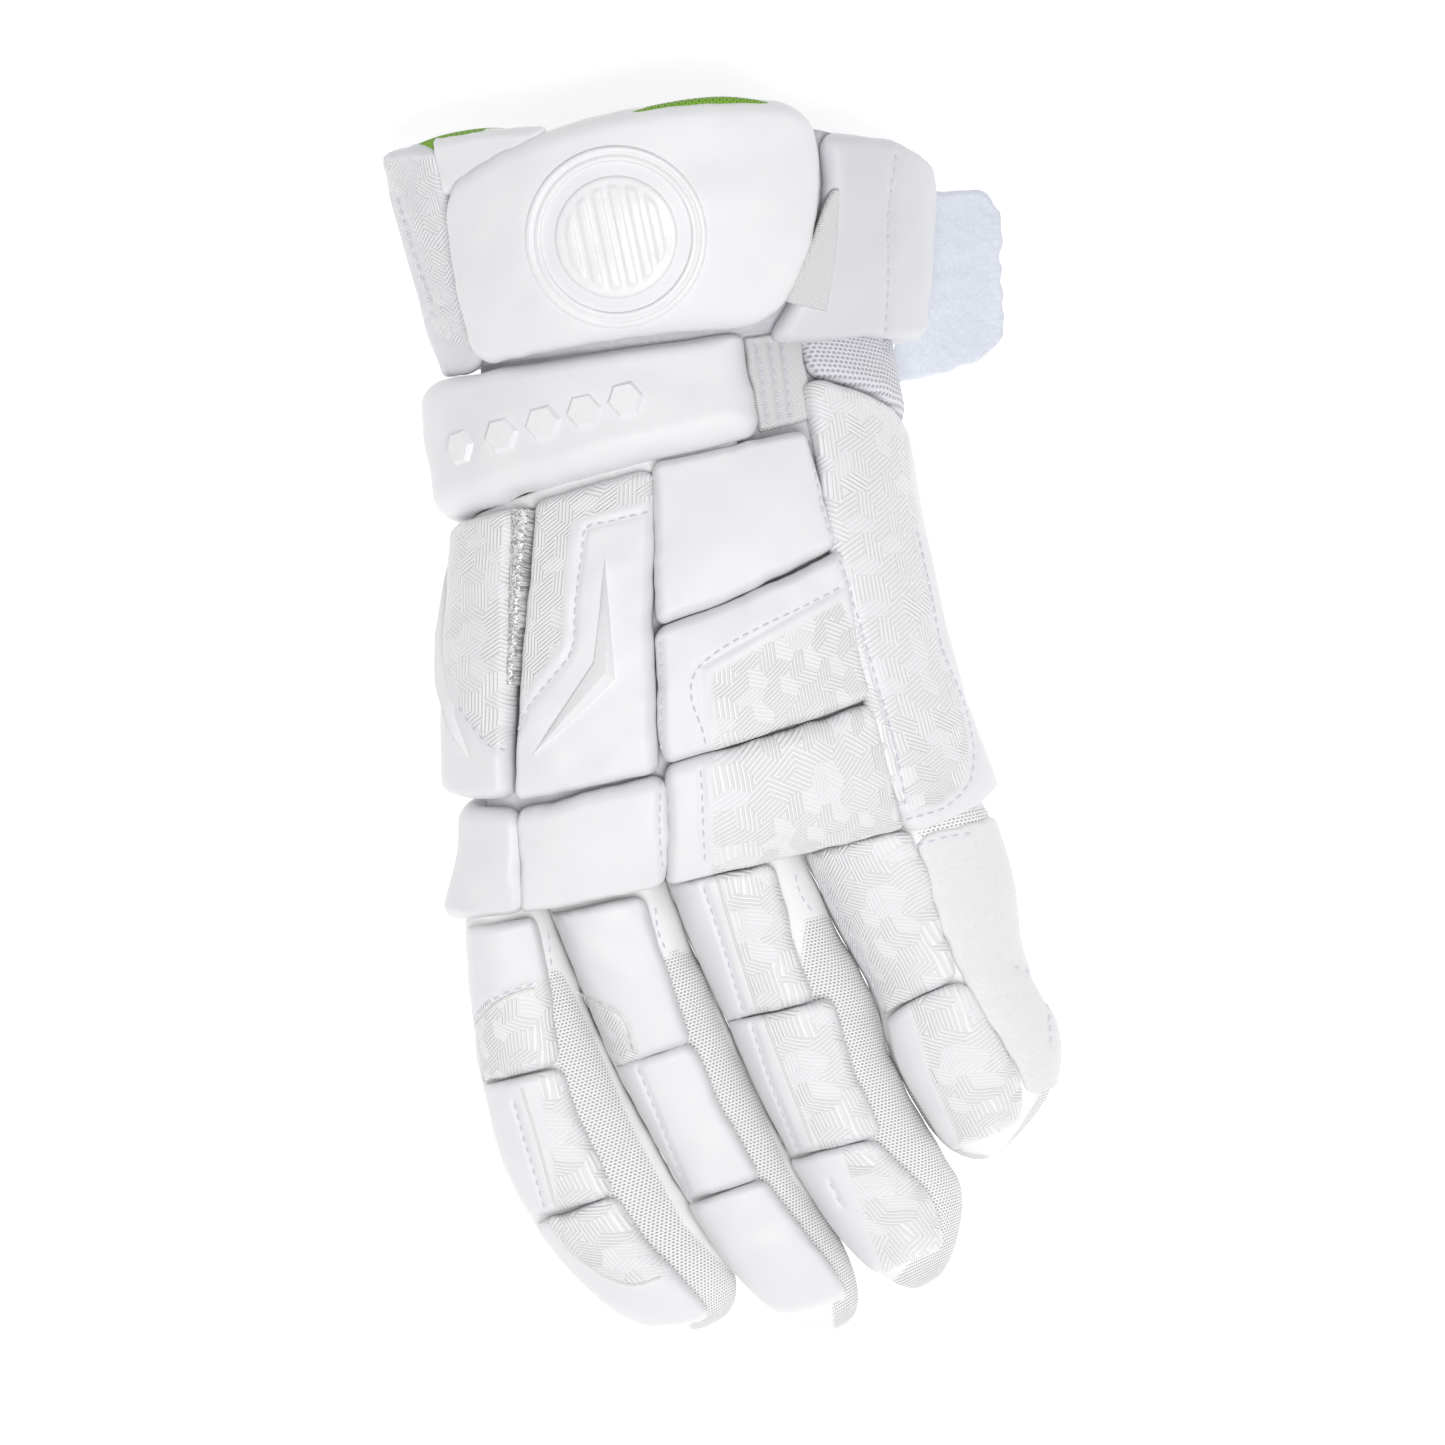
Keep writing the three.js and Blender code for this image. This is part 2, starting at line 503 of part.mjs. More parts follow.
// Cuff lining, flat where the glove rests
tubes.cuff.rest = 0;
tubes.thumb.rest = 0;
const beyondFlap = gridBody(...[-1, 3].map((deep) => liningCut.map(([x, y]) => [0, 0.5].map((far) => (
  new THREE.Vector3(x * gloveWidth, (y + far) * gloveLength, deep * handDepth))))));
add('cuff_lining', fromManifold(sleeve('cuff', linerWall).subtract(toManifold(beyondFlap))), 0xdedee6, 0.85);

// Hand shell and the thumb that opens out of its palm
const handSeat = toManifold(tubeSolid(tubes.hand, 0, 1, ...counts.hand, seamGap));
const thumbOuter = toManifold(tubeSolid(tubes.thumb, 0, tip, ...counts.thumb, 0));
const thumbInner = toManifold(tubeSolid(tubes.thumb, 0.02, 0.94, ...counts.thumb, -fingerWall));
add('hand_shell', fromManifold(sleeve('hand', linerWall).subtract(thumbInner)), 0xe9e9ee, 0.8);
add('thumb_sleeve', fromManifold(thumbOuter.subtract(handSeat).subtract(thumbInner)), 0xe2e2e8, 0.8);

// Finger sleeves
for (const finger of ['index', 'middle', 'ring', 'little']) {
  add(`finger_sleeve_${finger}`, fromManifold(sleeve(finger, fingerWall)), 0xcfcfd6, 0.85);
}

// Pads, each cut back so that it clears its tube by the seat clearance
const seats = {};
for (const [name, tube] of Object.entries(tubes)) {
  const [steps, around] = counts[name];
  seats[name] = toManifold(tubeSolid(tube, 0, tube.dome ? tip : 1, steps, around, seat, 0.2));
}
for (const pad of pads) {
  const block = toManifold(padBody(pad, -3));
  add(pad.name, fromManifold(block.subtract(seats[pad.on])), pad.color, 0.6);
}

// Bands, badge and fastener tape
for (const strip of bands) {
  const height = strip.over ? strip.over + 2 * seat : seat + 0.3;
  add(strip.name, bandBody(strip, height, bandWidth[strip.name] ?? ridgeWidth), strip.color, 0.6);
}
const badgeHeight = platePad + 2 * seat;
const badgeDisc = badgeRadius - badgeBand - 2 * seat;
add('badge_ring', discBody(tubes.cuff, ...badgeAt, badgeDisc + 2 * seat, badgeRadius, badgeHeight, badgeThick, 32),
  0xfbfbff, 0.5);
add('badge_disc', discBody(tubes.cuff, ...badgeAt, 0, badgeDisc, badgeHeight, badgeThick * 0.7, 32), 0xf6f6fc, 0.6);
add('fastener_tape', stripBody(tape, tapeThick), 0xe6ecf6, 0.95);

// The origin is the middle of the glove's footprint, on the surface it lies on
const bounds = new THREE.Box3().setFromObject(glove);
const middle = bounds.getCenter(new THREE.Vector3());
glove.position.set(-middle.x, -middle.y, -bounds.min.z);

export default glove;
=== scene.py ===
import math
from functools import partial

import bpy
import numpy as np
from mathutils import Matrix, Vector
from mathutils.bvhtree import BVHTree


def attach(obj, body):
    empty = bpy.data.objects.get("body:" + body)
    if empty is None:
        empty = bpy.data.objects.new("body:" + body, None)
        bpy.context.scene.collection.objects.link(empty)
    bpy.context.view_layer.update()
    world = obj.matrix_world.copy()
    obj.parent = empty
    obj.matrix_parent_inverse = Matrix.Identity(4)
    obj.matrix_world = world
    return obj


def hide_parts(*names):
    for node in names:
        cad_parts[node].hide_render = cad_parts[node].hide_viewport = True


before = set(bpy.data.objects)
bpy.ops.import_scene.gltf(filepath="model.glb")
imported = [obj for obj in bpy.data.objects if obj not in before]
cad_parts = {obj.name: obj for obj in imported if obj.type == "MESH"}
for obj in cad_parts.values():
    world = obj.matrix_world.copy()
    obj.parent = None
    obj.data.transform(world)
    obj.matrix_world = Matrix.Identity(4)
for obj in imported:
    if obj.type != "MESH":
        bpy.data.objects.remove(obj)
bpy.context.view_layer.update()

# All tables below are in millimetres or shares; meshes are made in metres.
# shift moves the tables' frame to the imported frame.
glove = {"length": 330.0, "width": 183.0, "lift": 30.0, "depth": 45.0, "shift": (-15.2460, 1.2960), "seam": 0.5}
view = {"mmPerPixel": 0.266, "turn": 12.0, "pivot": (700.0, 720.0), "size": 1445.0, "lens": 400.0, "height": 0.045}

knuckle = -0.117
fingerStart = knuckle - glove["seam"] / glove["length"]
# how squarely a closed tube ends
tubeEnd = 2.2

# rows: left x, left y, right x, right y, floor, depth
tubes = {
    "cuff": {"power": 2.3, "dome": 0.0, "rest": True, "rows": [
        [-0.246, 0.476, 0.476, 0.448, -0.05, 1.811], [-0.246, 0.42, 0.452, 0.392, -0.05, 1.789],
        [-0.246, 0.367, 0.426, 0.337, -0.033, 1.733], [-0.243, 0.317, 0.4, 0.284, 0, 1.6]]},
    "hand": {"power": 2.4, "dome": 0.0, "rows": [
        [-0.197, 0.338, 0.356, 0.316, 0.5, 1.067], [-0.213, 0.289, 0.354, 0.271, 0.533, 1.089],
        [-0.229, 0.208, 0.351, 0.198, 0.667, 1.089], [-0.268, 0.114, 0.344, 0.104, 0.867, 1.022],
        [-0.31, 0.02, 0.345, 0.009, 0.967, 0.956], [-0.341, -0.067, 0.362, -0.072, 0.967, 0.889],
        [-0.387, knuckle, 0.379, knuckle, 0.9, 0.8]]},
    "index": {"power": 2.6, "dome": 0.2, "rows": [
        [-0.392, fingerStart, -0.275, fingerStart, 0.9, 0.733], [-0.411, -0.189, -0.254, -0.188, 0.7, 0.711],
        [-0.42, -0.259, -0.23, -0.255, 0.467, 0.711], [-0.411, -0.329, -0.199, -0.318, 0.267, 0.667],
        [-0.374, -0.389, -0.167, -0.374, 0.133, 0.622], [-0.312, -0.445, -0.129, -0.422, 0.05, 0.589],
        [-0.236, -0.493, -0.087, -0.468, 0.033, 0.533]]},
    "middle": {"power": 2.6, "dome": 0.2, "rows": [
        [-0.272, fingerStart, -0.099, fingerStart, 0.9, 0.778], [-0.25, -0.188, -0.081, -0.182, 0.733, 0.778],
        [-0.227, -0.254, -0.056, -0.244, 0.533, 0.756], [-0.196, -0.318, -0.032, -0.308, 0.333, 0.733],
        [-0.164, -0.374, -0.003, -0.365, 0.183, 0.7], [-0.12, -0.437, 0.032, -0.421, 0.067, 0.644],
        [-0.051, -0.52, 0.091, -0.49, 0.033, 0.556]]},
    "ring": {"power": 2.6, "dome": 0.2, "rows": [
        [-0.096, fingerStart, 0.103, fingerStart, 0.9, 0.8], [-0.078, -0.181, 0.125, -0.181, 0.733, 0.8],
        [-0.053, -0.243, 0.159, -0.245, 0.533, 0.778], [-0.029, -0.307, 0.17, -0.305, 0.333, 0.756],
        [0, -0.364, 0.199, -0.361, 0.183, 0.722], [0.035, -0.42, 0.23, -0.414, 0.067, 0.644],
        [0.086, -0.498, 0.227, -0.473, 0.033, 0.556]]},
    "little": {"power": 2.6, "dome": 0.2, "rows": [
        [0.107, fingerStart, 0.379, fingerStart, 0.9, 0.733], [0.13, -0.181, 0.388, -0.179, 0.7, 0.733],
        [0.163, -0.245, 0.382, -0.242, 0.5, 0.711], [0.174, -0.305, 0.408, -0.305, 0.267, 0.689],
        [0.207, -0.361, 0.389, -0.349, 0.1, 0.622], [0.235, -0.403, 0.342, -0.386, 0.033, 0.533]]},
    "thumb": {"power": 2.4, "dome": 0.25, "rest": True, "rows": [
        [-0.196, 0.155, -0.029, 0.156, 1.067, 0.489], [-0.246, 0.095, -0.068, 0.095, 0.267, 0.644],
        [-0.273, 0.032, -0.103, 0.027, 0.067, 0.6], [-0.28, -0.033, -0.125, -0.039, 0.033, 0.578],
        [-0.269, -0.1, -0.141, -0.105, 0.033, 0.533]]},
}


def spline(rows, t):
    rows = np.asarray(rows, float)
    last = len(rows) - 1
    x = np.asarray(t, float) * last
    i = np.clip(np.floor(x).astype(int), 0, last - 1)
    f = (x - i)[..., None]
    p1, p2 = rows[i], rows[i + 1]
    p0 = np.where((i > 0)[..., None], rows[np.maximum(i - 1, 0)], 2 * p1 - p2)
    p3 = np.where((i < last - 1)[..., None], rows[np.minimum(i + 2, last)], 2 * p2 - p1)
    cubic = -p0 + 3 * p1 - 3 * p2 + p3
    return 0.5 * (2 * p1 + (p2 - p0) * f + (2 * p0 - 5 * p1 + 4 * p2 - p3) * f ** 2 + cubic * f ** 3)


def tubePoint(name, t, a, grow=0.0):
    tube = tubes[name]
    t, a, grow = np.broadcast_arrays(np.asarray(t, float), np.asarray(a, float), np.asarray(grow, float))
    s = spline(tube["rows"], t)
    left = np.stack([s[..., 0] * glove["width"], s[..., 1] * glove["length"]], -1)
    right = np.stack([s[..., 2] * glove["width"], s[..., 3] * glove["length"]], -1)
    floor, depth = s[..., 4] * glove["lift"], s[..., 5] * glove["depth"]
    way = right - left
    span = np.hypot(way[..., 0], way[..., 1])
    dome = tube["dome"]
    q = np.clip((t - 1 + dome) / dome, 0, 1) if dome else np.zeros_like(t)
    close = (1 - q ** tubeEnd) ** (1 / tubeEnd)
    half = np.maximum(span / 2 * close + grow, 0)
    rise = np.maximum(depth / 2 * close + grow, 0)
    c, n = np.cos(np.pi * a), np.sin(np.pi * a)
    across = -np.sign(c) * np.abs(c) ** (2 / tube["power"]) * half
    up = np.sign(n) * np.abs(n) ** (2 / tube["power"]) * rise
    xy = (left + right) / 2 + way / span[..., None] * across[..., None]
    z = floor + depth / 2 + up
    if tube.get("rest"):
        z = np.maximum(z, 0.0)
    return np.concatenate([xy, z[..., None]], -1)


def tubeNormal(name, t, a):
    e = 0.004
    along = tubePoint(name, t + e, a) - tubePoint(name, t - e, a)
    around = tubePoint(name, t, a + e) - tubePoint(name, t, a - e)
    n = np.cross(along, around)
    return n / np.maximum(np.linalg.norm(n, axis=-1, keepdims=True), 1e-9)


def overTube(name, t, a, height, lean=0.0):
    normal = tubeNormal(name, t, a)
    way = normal * (1 - lean)
    way[..., 2] += lean
    way /= np.maximum(np.linalg.norm(way, axis=-1, keepdims=True), 1e-9)
    return tubePoint(name, t, a) + way * np.asarray(height)[..., None]


def toPixel(p):
    # the picture's pixel straight above a point, for placing seams and patterned areas
    k = view["mmPerPixel"]
    c, s = math.cos(math.radians(view["turn"])), math.sin(math.radians(view["turn"]))
    x, y = p[..., 0] / k, -p[..., 1] / k
    return np.stack([x * c + y * s + view["pivot"][0], -x * s + y * c + view["pivot"][1]], -1)


def toTable(px, py):
    k = view["mmPerPixel"]
    c, s = math.cos(math.radians(view["turn"])), math.sin(math.radians(view["turn"]))
    dx, dy = px - view["pivot"][0], py - view["pivot"][1]
    return np.array([(dx * c - dy * s) * k, -(dx * s + dy * c) * k])


def toWorld(points):
    p = np.array(points, float).reshape(-1, 3)
    p[:, 0] += glove["shift"][0]
    p[:, 1] += glove["shift"][1]
    return p * 0.001


def addObject(name, data):
    piece = bpy.data.objects.new(name, data)
    bpy.context.scene.collection.objects.link(piece)
    return piece


def addAttribute(mesh, name, values, kind="FLOAT"):
    layer = mesh.attributes.new(name, kind, "POINT")
    layer.data.foreach_set("value" if kind == "FLOAT" else "vector", np.array(values, np.float32).ravel())


def readOut(items, label, size, kind):
    values = np.zeros(len(items) * size, kind)
    items.foreach_get(label, values)
    return values.reshape(-1, size)


def spotMesh(name, spots, edges=()):
    mesh = bpy.data.meshes.new(name)
    mesh.from_pydata([tuple(spot) for spot in spots], list(edges), [])
    return mesh


def makeSolid(name, points, faces, uv, look, smooth=True):
    mesh = bpy.data.meshes.new(name)
    mesh.from_pydata([tuple(v) for v in toWorld(points)], [], [tuple(int(i) for i in face) for face in faces])
    corners = readOut(mesh.loops, "vertex_index", 1, np.int32)[:, 0]
    mesh.uv_layers.new(name="surface").data.foreach_set("uv", np.asarray(uv, np.float32)[corners].ravel())
    mesh.polygons.foreach_set("use_smooth", [smooth] * len(mesh.polygons))
    mesh.update()
    # turn the faces out by the sign of the enclosed volume
    mesh.calc_loop_triangles()
    v, tri = readOut(mesh.vertices, "co", 3, float), readOut(mesh.loop_triangles, "vertices", 3, np.int32)
    if np.einsum("ij,ij->i", v[tri[:, 0]], np.cross(v[tri[:, 1]], v[tri[:, 2]])).sum() < 0:
        mesh.flip_normals()
    mesh.materials.append(looks[look])
    return addObject(name, mesh)


def gridFaces(rows, cols, start=0, wrap=False):
    i = np.arange(rows - 1)[:, None]
    j = np.arange(cols if wrap else cols - 1)[None, :]
    k = (j + 1) % cols
    return np.stack([start + i * cols + j, start + i * cols + k, start + (i + 1) * cols + k,
                     start + (i + 1) * cols + j], -1).reshape(-1, 4)


def rimLoop(rows, cols):
    # the outermost points of a grid, in order
    return ([j for j in range(cols)] + [i * cols + cols - 1 for i in range(1, rows)]
            + [(rows - 1) * cols + j for j in range(cols - 2, -1, -1)] + [i * cols for i in range(rows - 2, 0, -1)])


def rimFaces(rows, cols):
    ring, below = rimLoop(rows, cols), rows * cols
    return [[ring[k], ring[k - 1], ring[k - 1] + below, ring[k] + below] for k in range(len(ring))]


def blockFaces(rows, cols):
    # upper grid then lower grid, closed by a rim
    top, low = gridFaces(rows, cols), gridFaces(rows, cols, rows * cols)[:, ::-1]
    return [list(face) for face in top] + [list(face) for face in low] + rimFaces(rows, cols)


def shellFaces(n, m, around, start=True, tip=False):
    # outer rings, inner rings turned over, and what joins them at either end
    base = n * around
    faces = [list(face) for face in gridFaces(n, around, 0, True)]
    faces += [list(face[::-1]) for face in gridFaces(m, around, base, True)]
    pairs = [(i, (i + 1) % around) for i in range(around)]
    last, under, point = base - around, base + (m - 1) * around, base + m * around
    if start:
        faces += [[base + i, base + j, j, i] for i, j in pairs]
    if tip:
        faces += [[last + i, last + j, point] for i, j in pairs] + [[under + j, under + i, point + 1] for i, j in pairs]
    else:
        faces += [[last + i, last + j, under + j, under + i] for i, j in pairs]
    return faces


def link(tree, value, socket):
    # a socket is joined on; anything else becomes the input's own value
    if isinstance(value, bpy.types.NodeSocket):
        tree.links.new(value, socket)
    elif value is not None:
        socket.default_value = value


def noodle(tree, kind, inputs, **settings):
    node = tree.nodes.new(kind)
    for key, value in settings.items():
        setattr(node, key, value)
    for key, value in inputs.items():
        link(tree, value, node.inputs[key])
    return node.outputs


def calc(tree, operation, *values):
    return noodle(tree, "ShaderNodeMath", dict(enumerate(values)), operation=operation)[0]


def vectorCalc(tree, operation, *values):
    result = noodle(tree, "ShaderNodeVectorMath", dict(enumerate(values)), operation=operation)
    return result["Value" if operation == "LENGTH" else "Vector"]


def split(tree, vector):
    return list(noodle(tree, "ShaderNodeSeparateXYZ", {0: vector}))


def join(tree, *values):
    return noodle(tree, "ShaderNodeCombineXYZ", dict(enumerate(values)))[0]


def surface(tree):
    return noodle(tree, "ShaderNodeUVMap", {}, uv_map="surface")["UV"]


def painted(tree, name):
    return noodle(tree, "ShaderNodeAttribute", {}, attribute_name=name)["Fac"]


def noise(tree, scale, detail, roughness=0.5):
    place = noodle(tree, "ShaderNodeTexCoord", {})["Object"]
    return noodle(tree, "ShaderNodeTexNoise",
                  {"Vector": place, "Scale": scale, "Detail": detail, "Roughness": roughness})["Fac"]


def newMaterial(name, color, roughness, sheen, specular):
    material = bpy.data.materials.new(name)
    material.use_nodes = True
    shader = material.node_tree.nodes["Principled BSDF"]
    values = {"Base Color": (*color, 1), "Roughness": roughness, "Sheen Weight": sheen, "Sheen Roughness": 0.6,
              "Specular IOR Level": specular}
    for key, value in values.items():
        shader.inputs[key].default_value = value
    return material, material.node_tree, shader


def mixColor(tree, factor, low, high):
    ends = [value if isinstance(value, bpy.types.NodeSocket) else (*value, 1) for value in (low, high)]
    return noodle(tree, "ShaderNodeMix", {"Factor": factor, 6: ends[0], 7: ends[1]}, data_type="RGBA")[2]


def tint(tree, shader, value, low, high, start=0.3, end=0.7):
    share = noodle(tree, "ShaderNodeMapRange", {"Value": value, "From Min": start, "From Max": end})["Result"]
    color = mixColor(tree, share, low, high)
    tree.links.new(color, shader.inputs["Base Color"])
    return color


def bump(tree, shader, height, distance, strength=1.0, below=None):
    normal = noodle(tree, "ShaderNodeBump", {"Height": height, "Distance": distance, "Strength": strength,
                                             "Normal": below})["Normal"]
    tree.links.new(normal, shader.inputs["Normal"])
    return normal


# cell is in the surface map's millimetres, depth in metres; the others are shares, but for two colours: the painted
# highlight on the ribs and the painted shade in the hollows between them
patternSizes = {"cell": 9.35, "lines": 8, "depth": 0.00016, "ruled": 0.75, "faint": 0.5, "rise": 0.9, "level": 0.4,
                "ease": 0.3, "ribHighlight": (0.96, 0.96, 0.965), "hollowShade": (0.86, 0.86, 0.865), "fill": -1.6}


def embossHeight(tree):
    # tumbling-block cells; each third is ruled along one of its two sides, picked at random
    sums, vectors = partial(calc, tree), partial(vectorCalc, tree)
    cell, high = patternSizes["cell"], patternSizes["cell"] * math.sqrt(3)
    step, half = (cell, high, 1), (cell / 2, high / 2, 0.5)
    across, along, _ = split(tree, surface(tree))
    flat = join(tree, along, across)
    even = vectors("SUBTRACT", vectors("WRAP", flat, step), half)
    odd = vectors("SUBTRACT", vectors("WRAP", vectors("SUBTRACT", flat, half), step), half)
    nearer = sums("LESS_THAN", *(vectors("LENGTH", vectors("MULTIPLY", spot, (1, 1, 0))) for spot in (even, odd)))
    local = noodle(tree, "ShaderNodeMix", {"Factor": nearer, 4: odd, 5: even}, data_type="VECTOR")[1]
    x, y, _ = split(tree, local)
    turn = sums("ADD", sums("ARCTAN2", y, x), math.pi)
    third = sums("FLOOR", sums("DIVIDE", turn, 2 * math.pi / 3))
    centre = vectors("DIVIDE", vectors("SUBTRACT", flat, local), (cell / 2, high / 2, 1))
    column, row, _ = split(tree, vectors("FLOOR", vectors("ADD", centre, (0.5, 0.5, 0))))
    seat = join(tree, column, row, third)
    chance = noodle(tree, "ShaderNodeTexWhiteNoise", {"Vector": seat}, noise_dimensions="3D")["Value"]
    flip = sums("MULTIPLY", sums("GREATER_THAN", chance, patternSizes["ruled"] / 2), math.pi / 3)
    heading = sums("ADD", sums("MULTIPLY_ADD", third, 2 * math.pi / 3, math.pi / 6), flip)
    reach = sums("ADD", sums("MULTIPLY", x, sums("COSINE", heading)), sums("MULTIPLY", y, sums("SINE", heading)))
    wave = sums("COSINE", sums("MULTIPLY", reach, 2 * math.pi / (high / 2 / patternSizes["lines"])))
    ribs = sums("MULTIPLY_ADD", wave, patternSizes["rise"], patternSizes["level"])
    ribs = sums("SMOOTH_MIN", ribs, 1.0, patternSizes["ease"])
    # a few of the thirds are pressed more faintly
    strong = sums("LESS_THAN", chance, patternSizes["ruled"])
    return sums("MULTIPLY", ribs, sums("MULTIPLY_ADD", strong, 1 - patternSizes["faint"], patternSizes["faint"]))


leather = {"roughness": 0.5, "sheen": 0.05, "specular": 0.4, "crease": 90.0, "creaseDepth": 0.0006,
           "grain": 1500.0, "grainDepth": 0.00006}


def makeLeather(name, low, high):
    material, tree, shader = newMaterial(name, high, leather["roughness"], leather["sheen"], leather["specular"])
    sums = partial(calc, tree)
    crease = noise(tree, leather["crease"], 4.0)
    plain = tint(tree, shader, crease, low, high)
    fine = bump(tree, shader, noise(tree, leather["grain"], 3.0), leather["grainDepth"], 0.35)
    soft = bump(tree, shader, crease, leather["creaseDepth"], 0.25, fine)
    mask, lines = painted(tree, "pattern"), embossHeight(tree)
    # painted highlight and painted shade: the ribs are painted a little lighter and the hollows between them a little
    # darker
    highlightShare = sums("MULTIPLY", sums("MAXIMUM", lines, 0.0), mask)
    shadeShare = sums("MULTIPLY", sums("MAXIMUM", sums("MULTIPLY", lines, patternSizes["fill"]), 0.0), mask)
    highlighted = mixColor(tree, highlightShare, plain, patternSizes["ribHighlight"])
    tree.links.new(mixColor(tree, shadeShare, highlighted, patternSizes["hollowShade"]), shader.inputs["Base Color"])
    bump(tree, shader, sums("MULTIPLY", lines, mask), patternSizes["depth"], 1.0, soft)
    return material


# an eye's half width and half height in pitches, where its edge starts and ends, and the yarn's fuzz
eyeShape = {"wide": 0.36, "high": 0.3, "row": 0.8, "start": 0.55, "end": 1.2, "fuzz": 4000.0, "fuzzDepth": 0.00008}


def makeKnit(name, low, high, pitch, depth, roughness=0.85, masked=False):
    # rows of small eyes, each row set off by half a pitch
    material, tree, shader = newMaterial(name, high, roughness, 0.25, 0.25)
    sums = partial(calc, tree)
    across, along, _ = split(tree, surface(tree))
    row = sums("DIVIDE", along, pitch * eyeShape["row"])
    odd = sums("MULTIPLY", sums("FLOORED_MODULO", sums("FLOOR", row), 2.0), 0.5)
    x = sums("SUBTRACT", sums("FRACT", sums("ADD", sums("DIVIDE", across, pitch), odd)), 0.5)
    y = sums("SUBTRACT", sums("FRACT", row), 0.5)
    sides = [sums("POWER", sums("DIVIDE", part, eyeShape[size]), 2.0) for part, size in ((x, "wide"), (y, "high"))]
    radius = sums("SQRT", sums("ADD", *sides))
    limits = {"Value": radius, "From Min": eyeShape["start"], "From Max": eyeShape["end"]}
    shown = noodle(tree, "ShaderNodeMapRange", limits, interpolation_type="SMOOTHSTEP")["Result"]
    if masked:
        shown = sums("SUBTRACT", 1.0, sums("MULTIPLY", painted(tree, "knitted"), sums("SUBTRACT", 1.0, shown)))
    tint(tree, shader, shown, low, high, 0.0, 1.0)
    fine = bump(tree, shader, noise(tree, eyeShape["fuzz"], 2.0), eyeShape["fuzzDepth"], 0.4)
    bump(tree, shader, shown, depth, 0.8, fine)
    return material


def makeFabric(name, low, high, scale, depth, roughness=0.9, sheen=0.3, specular=0.2, detail=5.0, rough=0.65,
               strength=0.7):
    material, tree, shader = newMaterial(name, high, roughness, sheen, specular)
    nap = noise(tree, scale, detail, rough)
    tint(tree, shader, nap, low, high)
    bump(tree, shader, nap, depth, strength)
    return material


def makePlain(name, color, roughness, scale, depth):
    # nearly even surfaces: moulded rubber, thread and edging
    darker = tuple(part * 0.96 for part in color)
    return makeFabric(name, darker, color, scale, depth, roughness, 0.1, 0.4, 3.0, 0.5, 0.5)


def makeWeave(name, low, high, pitch, depth, roughness=0.45):
    # ribbed webbing: ribs along the band, crossed by finer picks
    material, tree, shader = newMaterial(name, high, roughness, 0.1, 0.6)
    across, along, _ = split(tree, surface(tree))
    rib, pick = (calc(tree, "SINE", calc(tree, "MULTIPLY", way, 2 * math.pi / size))
                 for way, size in ((across, pitch), (along, pitch * 0.6)))
    both = calc(tree, "MULTIPLY_ADD", calc(tree, "MULTIPLY", rib, pick), 0.5, 0.5)
    tint(tree, shader, both, low, high, 0.1, 0.9)
    bump(tree, shader, both, depth, 0.9)
    return material


def makeSpangle(name, low, high, scale, depth):
    # glittering mesh: its colour is painted in light and dark cells, painted glints of threads turned every way; its
    # metallic shine and bump are its own
    material, tree, shader = newMaterial(name, high, 0.3, 0.0, 0.8)
    cells = noodle(tree, "ShaderNodeTexVoronoi", {"Vector": surface(tree), "Scale": scale})
    tint(tree, shader, split(tree, cells["Color"])[0], low, high, 0.15, 0.75)
    shader.inputs["Metallic"].default_value = 0.35
    bump(tree, shader, cells["Distance"], depth, 0.8)
    return material


looks = {
    "leather": makeLeather("padLeather", (0.85, 0.852, 0.865), (0.875, 0.877, 0.885)),
    # the pad leather made darker and bluer for the flap and the wing: painted shade
    "shadedCuffLeather": makeLeather("shadedCuffLeather", (0.71, 0.712, 0.745), (0.74, 0.742, 0.77)),
    "knit": makeKnit("fingerKnit", (0.46, 0.46, 0.47), (0.95, 0.95, 0.95), 1.15, 0.00025, 0.8, True),
    # the wrist band's knit, darker and bluer all over: painted shade where it lies beside and under the strap; its eyes
    # are the knit's own
    "shadedCuffKnit": makeKnit("shadedCuffKnit", (0.46, 0.46, 0.50), (0.78, 0.78, 0.82), 1.3, 0.0003),
    "webbing": makeWeave("silverWebbing", (0.55, 0.55, 0.56), (1.0, 1.0, 1.0), 1.0, 0.0002),
    "vent": makeSpangle("ventMesh", (0.42, 0.42, 0.43), (1.0, 1.0, 1.0), 2.2, 0.0003),
    "green": makeKnit("greenTrim", (0.14, 0.28, 0.02), (0.22, 0.46, 0.035), 1.1, 0.0003),
    "suede": makeFabric("palmSuede", (0.80, 0.80, 0.805), (0.86, 0.86, 0.865), 900.0, 0.00015),
    "loop": makeFabric("loopTape", (0.69, 0.72, 0.80), (0.80, 0.83, 0.90), 1400.0, 0.0003, 1.0, 0.3),
    "lining": makeFabric("liningFabric", (0.55, 0.55, 0.58), (0.66, 0.66, 0.69), 700.0, 0.0003),
    "shell": makeFabric("shellFabric", (0.74, 0.74, 0.76), (0.82, 0.82, 0.84), 1100.0, 0.0002),
    "rubber": makePlain("raisedRubber", (0.93, 0.93, 0.94), 0.35, 600.0, 0.00003),
    "thread": makePlain("thread", (0.68, 0.68, 0.76), 0.6, 3000.0, 0.00006),
    "piping": makePlain("pipingEdge", (0.82, 0.80, 0.78), 0.6, 1500.0, 0.00005),
}
print("materials made")

# lengths in millimetres: the shape of every pad unless its own entry says otherwise
padShape = {
    "steps": 72, "corner": 3.4, "round": 3.0, "power": 2.1, "crown": 1.1, "base": .25, "side": .4, "tuck": .9,
    "grow": (1.5, 1.35), "groove": .8, "grooveWidth": .8, "wobble": .5, "pucker": .28, "sink": .5, "taper": 0,
    "bow": (0, 0, 0, 0), "uneven": .3, "skip": 6, "wander": 26.0, "nick": 8.0, "swell": 17.0, "fold": 5.5,
    "look": "leather", "slot": "pad_leather", "fill": .7}

